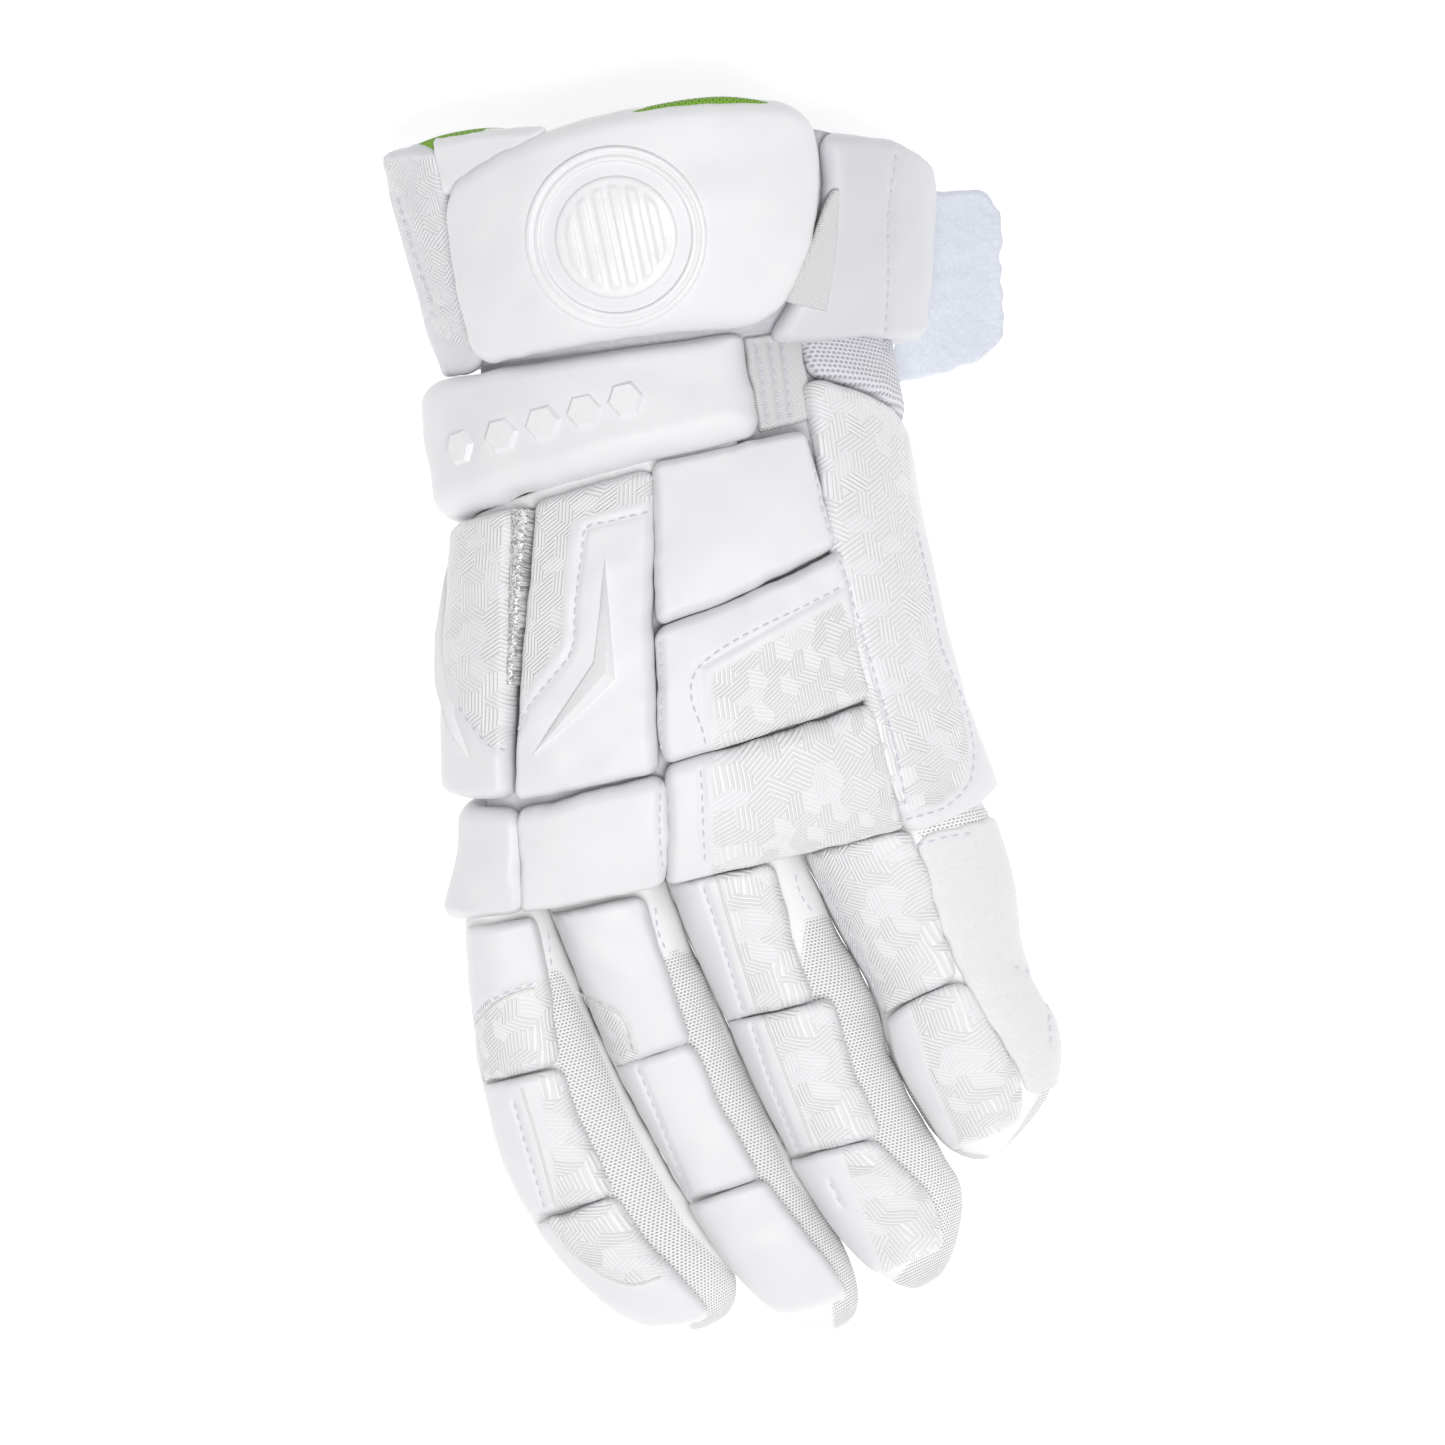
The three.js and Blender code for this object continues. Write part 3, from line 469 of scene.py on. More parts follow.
# what pads of one kind share, by the start of their name
padFamilies = {
    "finger_pad": {"grow": (1.1, 1.5), "thick": (10, 10), "lean": 1},
    "hand_pad": {"on": "hand", "thick": (12, 12), "lean": .3},
    "thumb_pad": {"on": "thumb", "thick": (6, 6), "lean": 0, "round": 3.5},
    "cuff_wing": {"on": "cuff", "thick": (7, 7), "lean": .1, "crown": .3},
}

# at: start left, start right, end left, end right as [along, around] of the tube it lies on
# inset: outline of the patterned part, in the picture's pixels
pads = {
    "hand_pad_index_outer": {"at": [[.378, -.1], [.36, .21], [.735, -.12], [.75, .193]], "grow": (.35, .9),
        "inset": [(430, 440), (514, 440), (511, 740), (496, 748), (480, 735), (462, 706), (450, 668), (446, 547)]},
    "hand_pad_index_inner": {"at": [[.358, .262], [.34, .46], [.757, .204], [.754, .438]], "grow": (.35, .9),
        "inset": [(528, 430), (660, 430), (656, 503), (573, 521), (567, 569), (563, 645), (537, 681), (524, 708),
        (514, 742)]},
    "hand_pad_index_low_outer": {"at": [[.757, -.1], [.784, .194], [.995, -.06], [.998, .225]], "thick": (6.5, 10.5)},
    "hand_pad_index_low_inner": {"at": [[.787, .205], [.77, .437], [.998, .238], [.998, .434]],
        "thick": (10.5, 10.5)},
    "hand_pad_upper": {"at": [[.333, .466], [.325, .664], [.546, .46], [.484, .694]]},
    "hand_pad_middle": {"at": [[.562, .456], [.5, .704], [.74, .452], [.7, .709]], "inset": [(713, 675), (840, 602),
        (885, 700), (716, 760)]},
    "hand_pad_lower": {"at": [[.758, .45], [.724, .709], [.998, .447], [.978, .706]], "thick": (10.5, 10.5),
        "inset": [(714, 740), (890, 680), (915, 840), (710, 890)]},
    "hand_pad_side": {"at": [[.24, .694], [.36, 1.06], [.998, .722], [.925, 1.06]], "thick": (9.5, 4.5), "lean": .1,
        "corner": 5.0, "inset": [(780, 360), (905, 360), (905, 470), (922, 560), (940, 650), (962, 712), (966, 752),
        (960, 786), (938, 802), (903, 812), (880, 780), (840, 600)]},
    "finger_pad_index_1": {"on": "index", "at": [[.024, .02], [.03, .68], [.3, .02], [.302, .54]],
        "inset": [(470, 1022), (486, 1000), (512, 985), (548, 976), (566, 1080), (480, 1095)]},
    "finger_pad_index_2": {"on": "index", "at": [[.326, .06], [.328, .542], [.588, .07], [.598, .52]],
        "inset": [(538, 1066), (570, 1070), (615, 1195), (560, 1222), (548, 1130)]},
    "finger_pad_index_3": {"on": "index", "at": [[.624, .1], [.618, .52], [.92, .06], [.965, .5]], "lean": .9,
        "inset": [(540, 1215), (612, 1190), (672, 1275), (632, 1287), (601, 1277), (568, 1252)]},
    "finger_pad_middle_1": {"on": "middle", "at": [[.03, .02], [.036, .648], [.336, .02], [.338, .566]],
        "inset": [(566, 990), (616, 1008), (640, 1060), (600, 1078), (574, 1020)]},
    "finger_pad_middle_2": {"on": "middle", "at": [[.358, .02], [.356, .568], [.664, .02], [.668, .568]]},
    "finger_pad_middle_3": {"on": "middle", "at": [[.694, .03], [.69, .588], [.92, .05], [.955, .66]], "lean": .9},
    "finger_pad_ring_1": {"on": "ring", "at": [[.022, .08], [.026, .636], [.322, .02], [.312, .538]],
        "inset": [(716, 850), (775, 850), (830, 1000), (762, 1030), (735, 940)]},
    "finger_pad_ring_2": {"on": "ring", "at": [[.348, .02], [.334, .61], [.646, .02], [.642, .575]],
        "inset": [(760, 1012), (825, 990), (875, 1130), (826, 1160), (800, 1110)]},
    "finger_pad_ring_3": {"on": "ring", "at": [[.672, .03], [.666, .534], [.93, .05], [.935, .66]], "lean": .9,
        "inset": [(842, 1150), (880, 1120), (960, 1250), (890, 1295), (866, 1225)]},
    "finger_pad_little_1": {"on": "little", "at": [[.03, .02], [.016, .512], [.452, .1], [.405, .506]],
        "inset": [(800, 830), (915, 815), (980, 980), (870, 1030), (830, 930)]},
    "finger_pad_little_2": {"on": "little", "at": [[.488, .12], [.432, .528], [.89, .03], [.9, .64]],
        "inset": [(905, 990), (985, 960), (1035, 1125), (968, 1165), (930, 1075)]},
    "thumb_pad_base": {"at": [[.3, -.22], [.34, .03], [.58, -.22], [.58, .03]]},
    "thumb_pad_tip": {"at": [[.61, -.22], [.61, .03], [.9, -.2], [.9, .03]]},
    "wrist_strap_pad": {"on": "hand", "at": [[.13, -.14], [.12, .585], [.362, -.14], [.304, .588]],
        "thick": (16, 13.5), "lean": .1, "round": 7.0, "corner": 4.0, "crown": .8, "grow": (1.2, 1.6)},
    "cuff_plate": {"on": "cuff", "at": [[.11, .205], [-.06, .675], [.985, .2], [.95, .615]],
        "bow": [.165, -.04, .005, .045], "thick": (10, 10), "lean": .2, "round": 5.0, "corner": 9.0, "crown": .6,
        "grow": (.3, .5)},
    "cuff_wing": {"look": "shadedCuffLeather", "at": [[-.085, -.12], [-.14, .197], [1, -.12], [1, .19]], "corner": 8.0,
        "taper": .5, "inset": [(370, 160), (560, 160), (560, 370), (436, 338), (427, 307), (408, 255), (392, 194)]},
    "cuff_wing_crest": {"at": [[-.145, .205], [-.118, .37], [.1, .205], [-.05, .37]], "bow": [.01, .04, 0, 0],
        "corner": 2.0, "round": 3.0},
    "cuff_flap": {"on": "cuff", "look": "shadedCuffLeather", "at": [[.08, .705], [.36, 1.16], [1.04, .615], [1.1, 1.16]],
        "bow": [0, 0, -.04, 0], "thick": (8, 8), "lean": 0, "round": 4.0, "corner": 6.0, "grow": (1.4, .8)},
}

# sewn lines in the picture's pixels: each gets a groove and a run of stitches
seamLines = {
    "cuffWing": [[(428, 317), (447, 306)], [(397, 196), (416, 258), (433, 306)]],
    "cuffFlap": [[(895, 157), (891, 185), (887, 219), (887, 284), (885, 348)]],
    "webbing": [[(757, 346), (768, 424)], [(770, 345), (780, 424)], [(782, 345), (791, 424)]],
    "frameInner": [[(650, 514), (615, 522), (588, 529), (584, 547), (577, 603), (575, 645), (568, 661), (548, 685),
        (530, 708), (519, 732)]],
    "frameOuter": [[(459, 705), (468, 719), (484, 739), (495, 748), (509, 750)]],
    "middlePad": [[(840, 588), (700, 667), (706, 746)]],
    "lowerPad": [[(701, 768), (705, 862)]],
    "centre": [[(661, 640), (663, 700), (662, 752)], [(661, 780), (660, 830), (664, 880)], [(655, 905), (658, 930),
        (666, 950)], [(794, 872), (800, 894), (812, 912)], [(548, 930), (550, 952), (552, 968)]],
    "sideSeam": [[(808, 440), (822, 512), (840, 566), (855, 612), (876, 684), (887, 720), (899, 771), (905, 806)]],
    "suedeEdge": [[(914, 846), (940, 838), (972, 832)], [(1012, 966), (1034, 976), (1048, 1004), (1052, 1046)]],
    "sideMargin": [[(916, 530), (931, 598), (941, 648), (962, 700), (972, 745), (969, 780), (945, 806), (903, 820)]],
    "index1": [[(476, 1015), (488, 1002), (510, 990), (536, 982)]],
    "index2": [[(514, 1100), (528, 1150), (545, 1210)]],
    "middle1": [[(585, 996), (612, 1006), (626, 1022), (634, 1052)]],
    "middle2": [[(638, 1066), (660, 1120), (690, 1196)]],
    "ring1": [[(703, 884), (722, 940), (744, 1012)]],
    "ring2": [[(752, 1024), (770, 1080), (798, 1150)]],
    "ring3": [[(829, 1180), (842, 1206)]],
    "little1": [[(822, 880), (848, 930), (880, 1000)]],
}

# raised piping lines in the picture's pixels
pipeLines = {
    "ring1": [(716, 872), (735, 940), (758, 1010)],
    "ring2": [(766, 1022), (788, 1080), (815, 1148)],
    "index1": [(476, 1026), (497, 1003), (520, 991), (538, 987)],
    "index2": [(522, 1086), (538, 1140), (556, 1208)],
    "index3": [(562, 1226), (569, 1250), (601, 1275), (632, 1286), (662, 1278)],
    "middle1": [(576, 992), (614, 1009), (627, 1022), (636, 1050)],
}


def lineDistance(points, lines, loop=False):
    best = np.full(points.shape[:-1], 1e9)
    for line in lines:
        line = np.asarray(line, float)
        if loop:
            line = np.vstack([line, line[:1]])
        for a, b in zip(line[:-1], line[1:]):
            ab = b - a
            f = np.clip(((points - a) @ ab) / (ab @ ab), 0, 1)
            best = np.minimum(best, np.linalg.norm(points - a - f[..., None] * ab, axis=-1))
    return best * view["mmPerPixel"]


def insideOutline(points, outline):
    outline = np.asarray(outline, float)
    x, y = points[..., 0], points[..., 1]
    inside = np.zeros(x.shape, bool)
    for (x1, y1), (x2, y2) in zip(outline, np.roll(outline, -1, axis=0)):
        crosses = (y1 > y) != (y2 > y)
        at = (x2 - x1) * (y - y1) / (y2 - y1 if y2 != y1 else 1e-9) + x1
        inside ^= crosses & (x < at)
    return inside


def insideBy(points, outline):
    # distance inside an outline; outside it is negative
    return lineDistance(points, [outline], True) * np.where(insideOutline(points, outline), 1, -1)


def softStep(value, low, high):
    f = np.clip((value - low) / (high - low), 0, 1)
    return f * f * (3 - 2 * f)


def ripple(x, y, seed, scale):
    # gentle unevenness of stuffed leather, the same on each run
    rng = np.random.default_rng(seed)
    total = np.zeros(np.broadcast(x, y).shape)
    for k in range(7):
        angle, phase, pitch = rng.uniform(0, math.pi), rng.uniform(0, 2 * math.pi), scale * rng.uniform(0.6, 1.8)
        total += np.sin((x * math.cos(angle) + y * math.sin(angle)) * 2 * math.pi / pitch + phase)
    return total / 7 ** 0.5 / 1.4


def padPlace(pad, s, r):
    (st0, sa0), (st1, sa1), (et0, ea0), (et1, ea1) = pad["at"]
    bow = pad.get("bow", (0, 0, 0, 0))
    humpR, humpS = 1 - (2 * r - 1) ** 2, 1 - (2 * s - 1) ** 2
    start = st0 + (st1 - st0) * r - bow[0] * humpR
    end = et0 + (et1 - et0) * r + bow[1] * humpR
    left = sa0 + (ea0 - sa0) * s - bow[2] * humpS
    right = sa1 + (ea1 - sa1) * s + bow[3] * humpS
    return start + (end - start) * s, left + (right - left) * r


def padSpans(pad):
    # surface lengths across and along the pad
    e = np.linspace(0, 1, 17)
    s, r = np.meshgrid(e, e, indexing="ij")
    t, a = padPlace(pad, s, r)
    p = overTube(pad["on"], t, a, pad["thick"][0] * 0.5, pad["lean"])
    across = np.linalg.norm(np.diff(p, axis=1), axis=-1).sum(1)
    along = np.linalg.norm(np.diff(p, axis=0), axis=-1).sum(0)
    return e, across, along


def padSides(pad, width, length, u, v):
    # a square grid's points moved into a round-cornered outline, with their distance from its edge
    corner = pad["corner"]
    px, py = np.abs(u) * width / 2, np.abs(v) * length / 2
    cx, cy = (px - width / 2 + corner) / corner, (py - length / 2 + corner) / corner
    inCorner = (cx > 0) & (cy > 0)
    cx, cy = np.clip(cx, 0, 1), np.clip(cy, 0, 1)
    rx, ry = cx * np.sqrt(1 - cy ** 2 / 2), cy * np.sqrt(1 - cx ** 2 / 2)
    px = np.where(inCorner, width / 2 - corner + rx * corner, px)
    py = np.where(inCorner, length / 2 - corner + ry * corner, py)
    edge = np.where(inCorner, corner * (1 - np.hypot(rx, ry)), np.minimum(width / 2 - px, length / 2 - py))
    return np.sign(u) * px, np.sign(v) * py, np.maximum(edge, 0)


def sideWander(along, seed):
    level = along * 0
    return ripple(along, level, seed, padShape["wander"]) + 0.4 * ripple(along, level, seed + 20, padShape["nick"])


def padGrid(pad, seed):
    x = np.linspace(-1, 1, pad["steps"])
    x = np.sign(x) * (1 - (1 - np.abs(x)) ** 1.3)
    v, u = np.meshgrid(x, x, indexing="ij")
    e, across, along = padSpans(pad)
    bare = np.interp((v + 1) / 2, e, across), np.interp((u + 1) / 2, e, along)
    width, length = bare[0] + 2 * pad["grow"][0], bare[1] + 2 * pad["grow"][1]
    pad = {**pad, "corner": min(pad["corner"], across.min() * 0.45, along.min() * 0.45)}
    mx, my, edge = padSides(pad, width, length, u, v)
    # sides wander a little, more at their middle
    wobble = pad["wobble"] * (1 - np.minimum(u ** 2, v ** 2))
    sx = mx + wobble * sideWander(my, seed) * np.abs(u)
    sy = my + wobble * sideWander(mx, seed + 50) * np.abs(v)
    r, s = sx / bare[0] + 0.5, sy / bare[1] + 0.5
    t, a = padPlace(pad, s, r)
    tuck = 2 * pad["tuck"]
    lowT, lowA = padPlace(pad, (s - 0.5) * (1 - tuck / length) + 0.5, (r - 0.5) * (1 - tuck / width) + 0.5)
    full = (pad["thick"][0] + (pad["thick"][1] - pad["thick"][0]) * r) * (1 - pad["taper"] * s)
    f = np.clip(1 - edge / pad["round"], 0, 1)
    height = full * (pad["side"] + (1 - pad["side"]) * (1 - f ** pad["power"]) ** (1 / pad["power"]))
    height += pad["crown"] * (1 - u ** 2) ** 0.7 * (1 - v ** 2) ** 0.7
    height += pad["uneven"] * ripple(mx, my, seed + 90, padShape["swell"]) * np.clip(edge / 3, 0, 1)
    height += pad["pucker"] * ripple(mx, my, seed + 120, padShape["fold"]) * np.exp(-edge / 2.2)
    pixel = toPixel(overTube(pad["on"], t, a, full, pad["lean"]))
    pattern = np.zeros(height.shape)
    if "inset" in pad:
        distance = insideBy(pixel, pad["inset"])
        pattern = softStep(distance, -0.35, 0.35)
        height -= pad["sink"] * softStep(distance, -0.6, 0.6) * np.clip(edge / 1.5, 0, 1)
    near = lineDistance(pixel, [line for family in seamLines.values() for line in family])
    height -= pad["groove"] * np.exp(-(near / pad["grooveWidth"]) ** 2) * np.clip(edge / 2, 0, 1)
    top = overTube(pad["on"], t, a, pad["base"] + np.maximum(height, 0.2), pad["lean"])
    low = overTube(pad["on"], lowT, lowA, np.full(t.shape, pad["base"]), pad["lean"])
    return top, low, np.stack([mx, my], -1), pattern


def padFaces(n, skip):
    # a fine upper grid over a coarse lower one, joined by a rim
    count = n * n
    faces = [list(face) for face in gridFaces(n, n)] + rimFaces(n, n)
    marks = sorted(set(list(range(0, n - 1, skip)) + [n - 1]))
    for i0, i1 in zip(marks[:-1], marks[1:]):
        for j0, j1 in zip(marks[:-1], marks[1:]):
            walk = [(i0, j) for j in (range(j0, j1) if i0 == 0 else [j0])]
            walk += [(i, j1) for i in (range(i0, i1) if j1 == n - 1 else [i0])]
            walk += [(i1, j) for j in (range(j1, j0, -1) if i1 == n - 1 else [j1])]
            walk += [(i, j0) for i in (range(i1, i0, -1) if j0 == 0 else [i1])]
            faces.append([count + i * n + j for i, j in reversed(walk)])
    return faces


def compact(points, faces, *extras):
    # drops the points that no face uses
    used = np.unique(np.concatenate([np.asarray(face) for face in faces]))
    place = np.full(len(points), -1)
    place[used] = np.arange(len(used))
    return points[used], [[place[i] for i in face] for face in faces], *[extra[used] for extra in extras]


def makePad(name, pad, seed):
    top, low, uv, pattern = padGrid(pad, seed)
    points = np.vstack([top.reshape(-1, 3), low.reshape(-1, 3)])
    uv = np.vstack([uv.reshape(-1, 2)] * 2)
    pattern = np.concatenate([pattern.ravel(), np.zeros(pattern.size)])
    points, faces, uv, pattern = compact(points, padFaces(pad["steps"], pad["skip"]), uv, pattern)
    piece = makeSolid("soft_" + name, points, faces, uv, pad["look"])
    addAttribute(piece.data, "pattern", pattern)
    return piece


def settle(piece, nodes):
    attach(piece, "root")
    if nodes:
        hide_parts(*nodes)
    return piece


def buildPads(table, families, firstSeed, seedStep):
    for index, (name, own) in enumerate(table.items()):
        family = next((facts for start, facts in families.items() if name.startswith(start)), {})
        pad = {**padShape, **family, **own}
        built[name] = settle(makePad(name, pad, firstSeed + seedStep * index), [name])


built = {}
buildPads(pads, padFamilies, 11, 7)
print("pads made:", len(pads))

# wall: thickness; rows and around: how finely it is divided; finger sleeves carry the knit
openSleeve = {"wall": 2.0, "around": 96, "closed": False}
fingerSleeve = {"wall": 1.6, "look": "knit", "slot": "finger_knit", "rows": 130, "around": 110, "closed": True}
sleeves = {
    "hand_shell": {**openSleeve, "tube": "hand", "look": "shell", "slot": "pad_leather", "rows": 60},
    "cuff_lining": {**openSleeve, "tube": "cuff", "look": "lining", "slot": "lining_knit", "rows": 24},
    "thumb_sleeve": {"tube": "thumb", "wall": 1.6, "look": "suede", "slot": "palm_suede", "rows": 60, "around": 72,
                     "closed": True},
    **{"finger_sleeve_" + tube: {**fingerSleeve, "tube": tube} for tube in ("index", "middle", "ring", "little")},
}
# before: how far a finger's sleeve reaches into the hand; drop: how far the cuff's edge drops back along the flap
sleeveShape = {"crowd": 1.5, "before": 0.03, "drawn": 100.0, "drop": 0.36, "dropFrom": (0.58, 1.06),
               "dropTo": (1.18, 1.5), "slack": 0.35, "swell": 0.3, "swellPitch": 16.0, "floor": 0.02}

# where the knit shows, in the picture's pixels; the rest of a finger's sleeve is plain leather
knitAreas = [
    [(552, 970), (545, 985), (552, 1040), (572, 1118), (585, 1160), (612, 1202), (649, 1257), (690, 1307),
        (690, 1345), (725, 1340), (745, 1288), (709, 1254), (683, 1226), (657, 1176), (629, 1121), (611, 1079),
        (595, 1040), (572, 990), (562, 972)],
    [(676, 950), (664, 958), (658, 977), (684, 1038), (717, 1111), (751, 1171), (780, 1218), (830, 1278), (836, 1340),
        (870, 1330), (880, 1281), (817, 1210), (792, 1179), (780, 1152), (749, 1079), (730, 1045), (717, 1013),
        (704, 967), (694, 952)],
    [(820, 914), (805, 922), (801, 968), (818, 1013), (832, 1053), (860, 1115), (882, 1154), (914, 1202), (930, 1244),
        (880, 1300), (980, 1290), (980, 1183), (950, 1154), (930, 1110), (900, 1070), (885, 1042), (877, 1008),
        (854, 957), (838, 920)],
    [(878, 1040), (898, 1045), (922, 1086), (941, 1125), (965, 1154), (1000, 1160), (1022, 1128), (1046, 1088),
        (1070, 1090), (1060, 1180), (940, 1180)],
    [(920, 814), (994, 806), (1000, 838), (920, 838)],
]


def mendSeam(mesh, total):
    # where the map closes on itself, carry on past the end instead of jumping back
    layer = mesh.uv_layers["surface"].data
    for face in mesh.polygons:
        us = [layer[i].uv[0] for i in face.loop_indices]
        if max(us) - min(us) > total / 2 and len(us) == 4:
            for i in face.loop_indices:
                if layer[i].uv[0] < total / 2:
                    layer[i].uv[0] += total


def makeSleeve(name, facts, seed):
    # rings run round the tube from its underside; a closed tip ends in one point
    tube, rows, around, closed = (facts[key] for key in ("tube", "rows", "around", "closed"))
    finger = facts["look"] == "knit"
    e = np.linspace(0, 1, rows)
    if closed:
        e = 1 - (1 - e) ** sleeveShape["crowd"]
    if finger:
        e = e * (1 + sleeveShape["before"]) - sleeveShape["before"]
    tt, aa = np.meshgrid(e, np.linspace(-0.5, 1.5, around, endpoint=False), indexing="ij")
    if tube == "cuff":
        begin = sleeveShape["drop"] * softStep(aa, *sleeveShape["dropFrom"])
        begin *= 1 - softStep(aa, *sleeveShape["dropTo"])
        tt = begin + (1 - begin) * tt
    shoulder = np.minimum(tt, 0) * sleeveShape["drawn"] if finger else 0.0
    outer, inner = tubePoint(tube, tt, aa, shoulder), tubePoint(tube, tt, aa, shoulder - facts["wall"])
    along = np.concatenate([[0], np.linalg.norm(np.diff(outer[:, around // 2], axis=0), axis=-1).cumsum()])
    girth = np.linalg.norm(np.roll(outer, -1, axis=1) - outer, axis=-1)
    run = np.concatenate([[0], girth[: rows // 2].mean(0).cumsum()])
    uv = np.stack(np.broadcast_arrays(run[None, :-1], along[:, None]), -1)
    # slack cloth between the seams
    normal = tubeNormal(tube, tt, aa)
    swell = ripple(uv[..., 1], uv[..., 0] * 0.6, seed, sleeveShape["swellPitch"]) * softStep(1 - e, 0.02, 0.2)[:, None]
    outer = outer + normal * (sleeveShape["slack"] * finger + sleeveShape["swell"] * swell)[..., None]
    outer[..., 2] = np.maximum(outer[..., 2], sleeveShape["floor"])
    tips = []
    if closed:
        outer, inner, uv = outer[:-1], inner[:-2], uv[:-1]
        tips = [tubePoint(tube, 1.0, 0.5), inner[-1].mean(0)]
    n, m = len(outer), len(inner)
    points = np.vstack([outer.reshape(-1, 3), inner.reshape(-1, 3)] + [[tip] for tip in tips])
    uv = np.vstack([uv.reshape(-1, 2), uv[:m].reshape(-1, 2)] + [[[run[-1] / 2, along[-1]]] for tip in tips])
    piece = makeSolid("soft_" + name, points, shellFaces(n, m, around, tip=closed), uv, facts["look"])
    mendSeam(piece.data, run[-1])
    knitted = np.ones(len(points))
    if finger:
        skin = n * around
        pixel = toPixel(points)
        shown = softStep(np.max([insideBy(pixel, area) for area in knitAreas], axis=0), -0.4, 0.4)
        facingUp = (normal[:n, :, 2] > 0.05).ravel()
        knitted[:skin][facingUp] = shown[:skin][facingUp]
        # the eyes stop short of the tip, where the rings close
        knitted[:skin] *= np.repeat(1 - softStep(np.arange(n), n - 5, n - 2), around)
        knitted[-2:] = 0.0
    addAttribute(piece.data, "knitted", knitted)
    return piece


for index, (name, facts) in enumerate(sleeves.items()):
    built[name] = settle(makeSleeve(name, facts, 300 + index), [name])
print("sleeves made:", len(sleeves))

# thin patches that follow a tube
patchShape = {"steps": 72, "pucker": .05, "corner": 3.0, "round": 1.4, "grow": (.2, .2), "tuck": 0.0, "side": .3,
              "uneven": .1, "crown": 0.0, "fill": None}

patches = {
    "finger_side_suede": {"on": "little", "at": [[.03, .535], [.03, 1.14], [.8, .672], [.8, 1.14]],
        "bow": (0, 0, .065, 0), "thick": (1.8, 1.8), "wobble": 1.0, "lean": 0, "look": "suede", "slot": "palm_suede",
        "corner": 4.0},
    "wrist_strap_webbing": {"on": "hand", "at": [[.122, .597], [.12, .702], [.304, .598], [.296, .7]],
        "thick": (3, 3), "lean": 0, "look": "webbing", "slot": "silver_webbing", "corner": .8},
    "wrist_knit_band": {"on": "hand", "at": [[.07, .7], [.13, 1.08], [.225, .704], [.34, 1.08]], "thick": (6, 6),
        "lean": 0, "look": "shadedCuffKnit", "slot": "cuff_knit", "round": 3.0, "fill": .5},
}
buildPads(patches, {"": patchShape}, 500, 1)
print("patches made:", len(patches))

# raised ridge, vent strip, pile edge, trims and elastic, each swept along a short path;
# over: how far above the tube it starts
bands = {
    "hand_vent_strip": {"on": "hand", "lean": .3, "over": .4, "high": 10.0, "wide": 6.0, "look": "vent",
        "slot": "silver_webbing", "path": [[.365, .237, 1.0], [.39, .234, 1.0], [.43, .229, .86], [.5, .223, .7],
        [.57, .216, .56], [.6, .213, .4]]},
    "hand_ridge_outer": {"on": "hand", "lean": .3, "over": 12.2, "high": 3.0, "wide": 5.0, "look": "rubber",
        "slot": "raised_rubber", "path": [[.42, -.03, .1], [.5, -.03, .5], [.58, .01, .9], [.62, .05, .9],
        [.66, .085, .6], [.7, .12, .1]]},
    "strapPile": {"on": "hand", "lean": .1, "over": 1.0, "high": 4.5, "wide": 5.0, "look": "suede",
        "slot": "palm_suede", "path": [[.372, -.12, 1], [.371, 0.0, 1], [.362, .15, 1], [.345, .3, 1], [.33, .45, 1],
        [.318, .56, .9]]},
    "lining_trim_wing": {"on": "cuff", "lean": 0, "over": 2.0, "high": 3.2, "wide": 3.2, "look": "green",
        "slot": "green_trim", "path": [[-.07, .09, .3], [-.11, .14, .9], [-.14, .193, 1], [-.145, .268, 1],
        [-.13, .315, .8], [-.1, .345, .4]]},
    "lining_trim_plate": {"on": "cuff", "lean": 0, "over": 5.0, "high": 3.2, "wide": 3.4, "look": "green",
        "slot": "green_trim", "path": [[-.115, .44, .3], [-.135, .5, .9], [-.135, .549, 1], [-.11, .59, 1],
        [-.05, .64, .9], [.03, .668, .5], [.12, .68, .2]]},
    "cuff_elastic": {"on": "cuff", "lean": 0, "over": 7.4, "high": 1.8, "wide": 13.0, "look": "webbing",
        "slot": "silver_webbing", "path": [[.34, .712, .1], [.42, .706, .3], [.62, .692, .6], [.86, .668, .95]]},
}
bandShape = {"rows": 60, "cols": 15, "below": 1.2, "peak": 0.8, "ends": 14, "flat": 4}


def makeBand(name, band):
    # a strip swept along a path of [along, around, share of its width]
    f, across = np.linspace(0, 1, bandShape["rows"]), np.linspace(-1, 1, bandShape["cols"])
    rows = spline(np.array(band["path"], float), f)
    t, a, share = rows[:, 0], rows[:, 1], np.maximum(rows[:, 2], 0.02)
    centre = overTube(band["on"], t, a, np.full(t.shape, band["over"]), band["lean"])
    way = np.gradient(centre, axis=0)
    way /= np.linalg.norm(way, axis=-1, keepdims=True)
    side = np.cross(way, tubeNormal(band["on"], t, a))
    side /= np.linalg.norm(side, axis=-1, keepdims=True)
    up = np.cross(side, way)
    reach = share[:, None] * band["wide"] / 2 * across
    if band["look"] == "rubber":
        # peaked, and fading at both ends
        rise = (1 - np.abs(across)) ** bandShape["peak"]
        high = np.minimum(1, np.minimum(f, 1 - f) * bandShape["ends"]) ** 0.5 * np.minimum(1, share * 1.6)
    else:
        rise, high = (1 - across ** bandShape["flat"]) ** (1 / bandShape["flat"]), np.ones(f.shape)
    spread = centre[:, None] + side[:, None] * reach[..., None]
    top = spread + up[:, None] * (band["high"] * high[:, None] * rise + 0.05)[..., None]
    low = spread - up[:, None] * bandShape["below"]
    run = np.concatenate([[0], np.linalg.norm(np.diff(centre, axis=0), axis=-1).cumsum()])
    uv = np.stack(np.broadcast_arrays(reach, run[:, None]), -1).reshape(-1, 2)
    points = np.vstack([top.reshape(-1, 3), low.reshape(-1, 3)])
    return makeSolid("raised_" + name, points, blockFaces(*reach.shape), np.vstack([uv, uv]), band["look"])


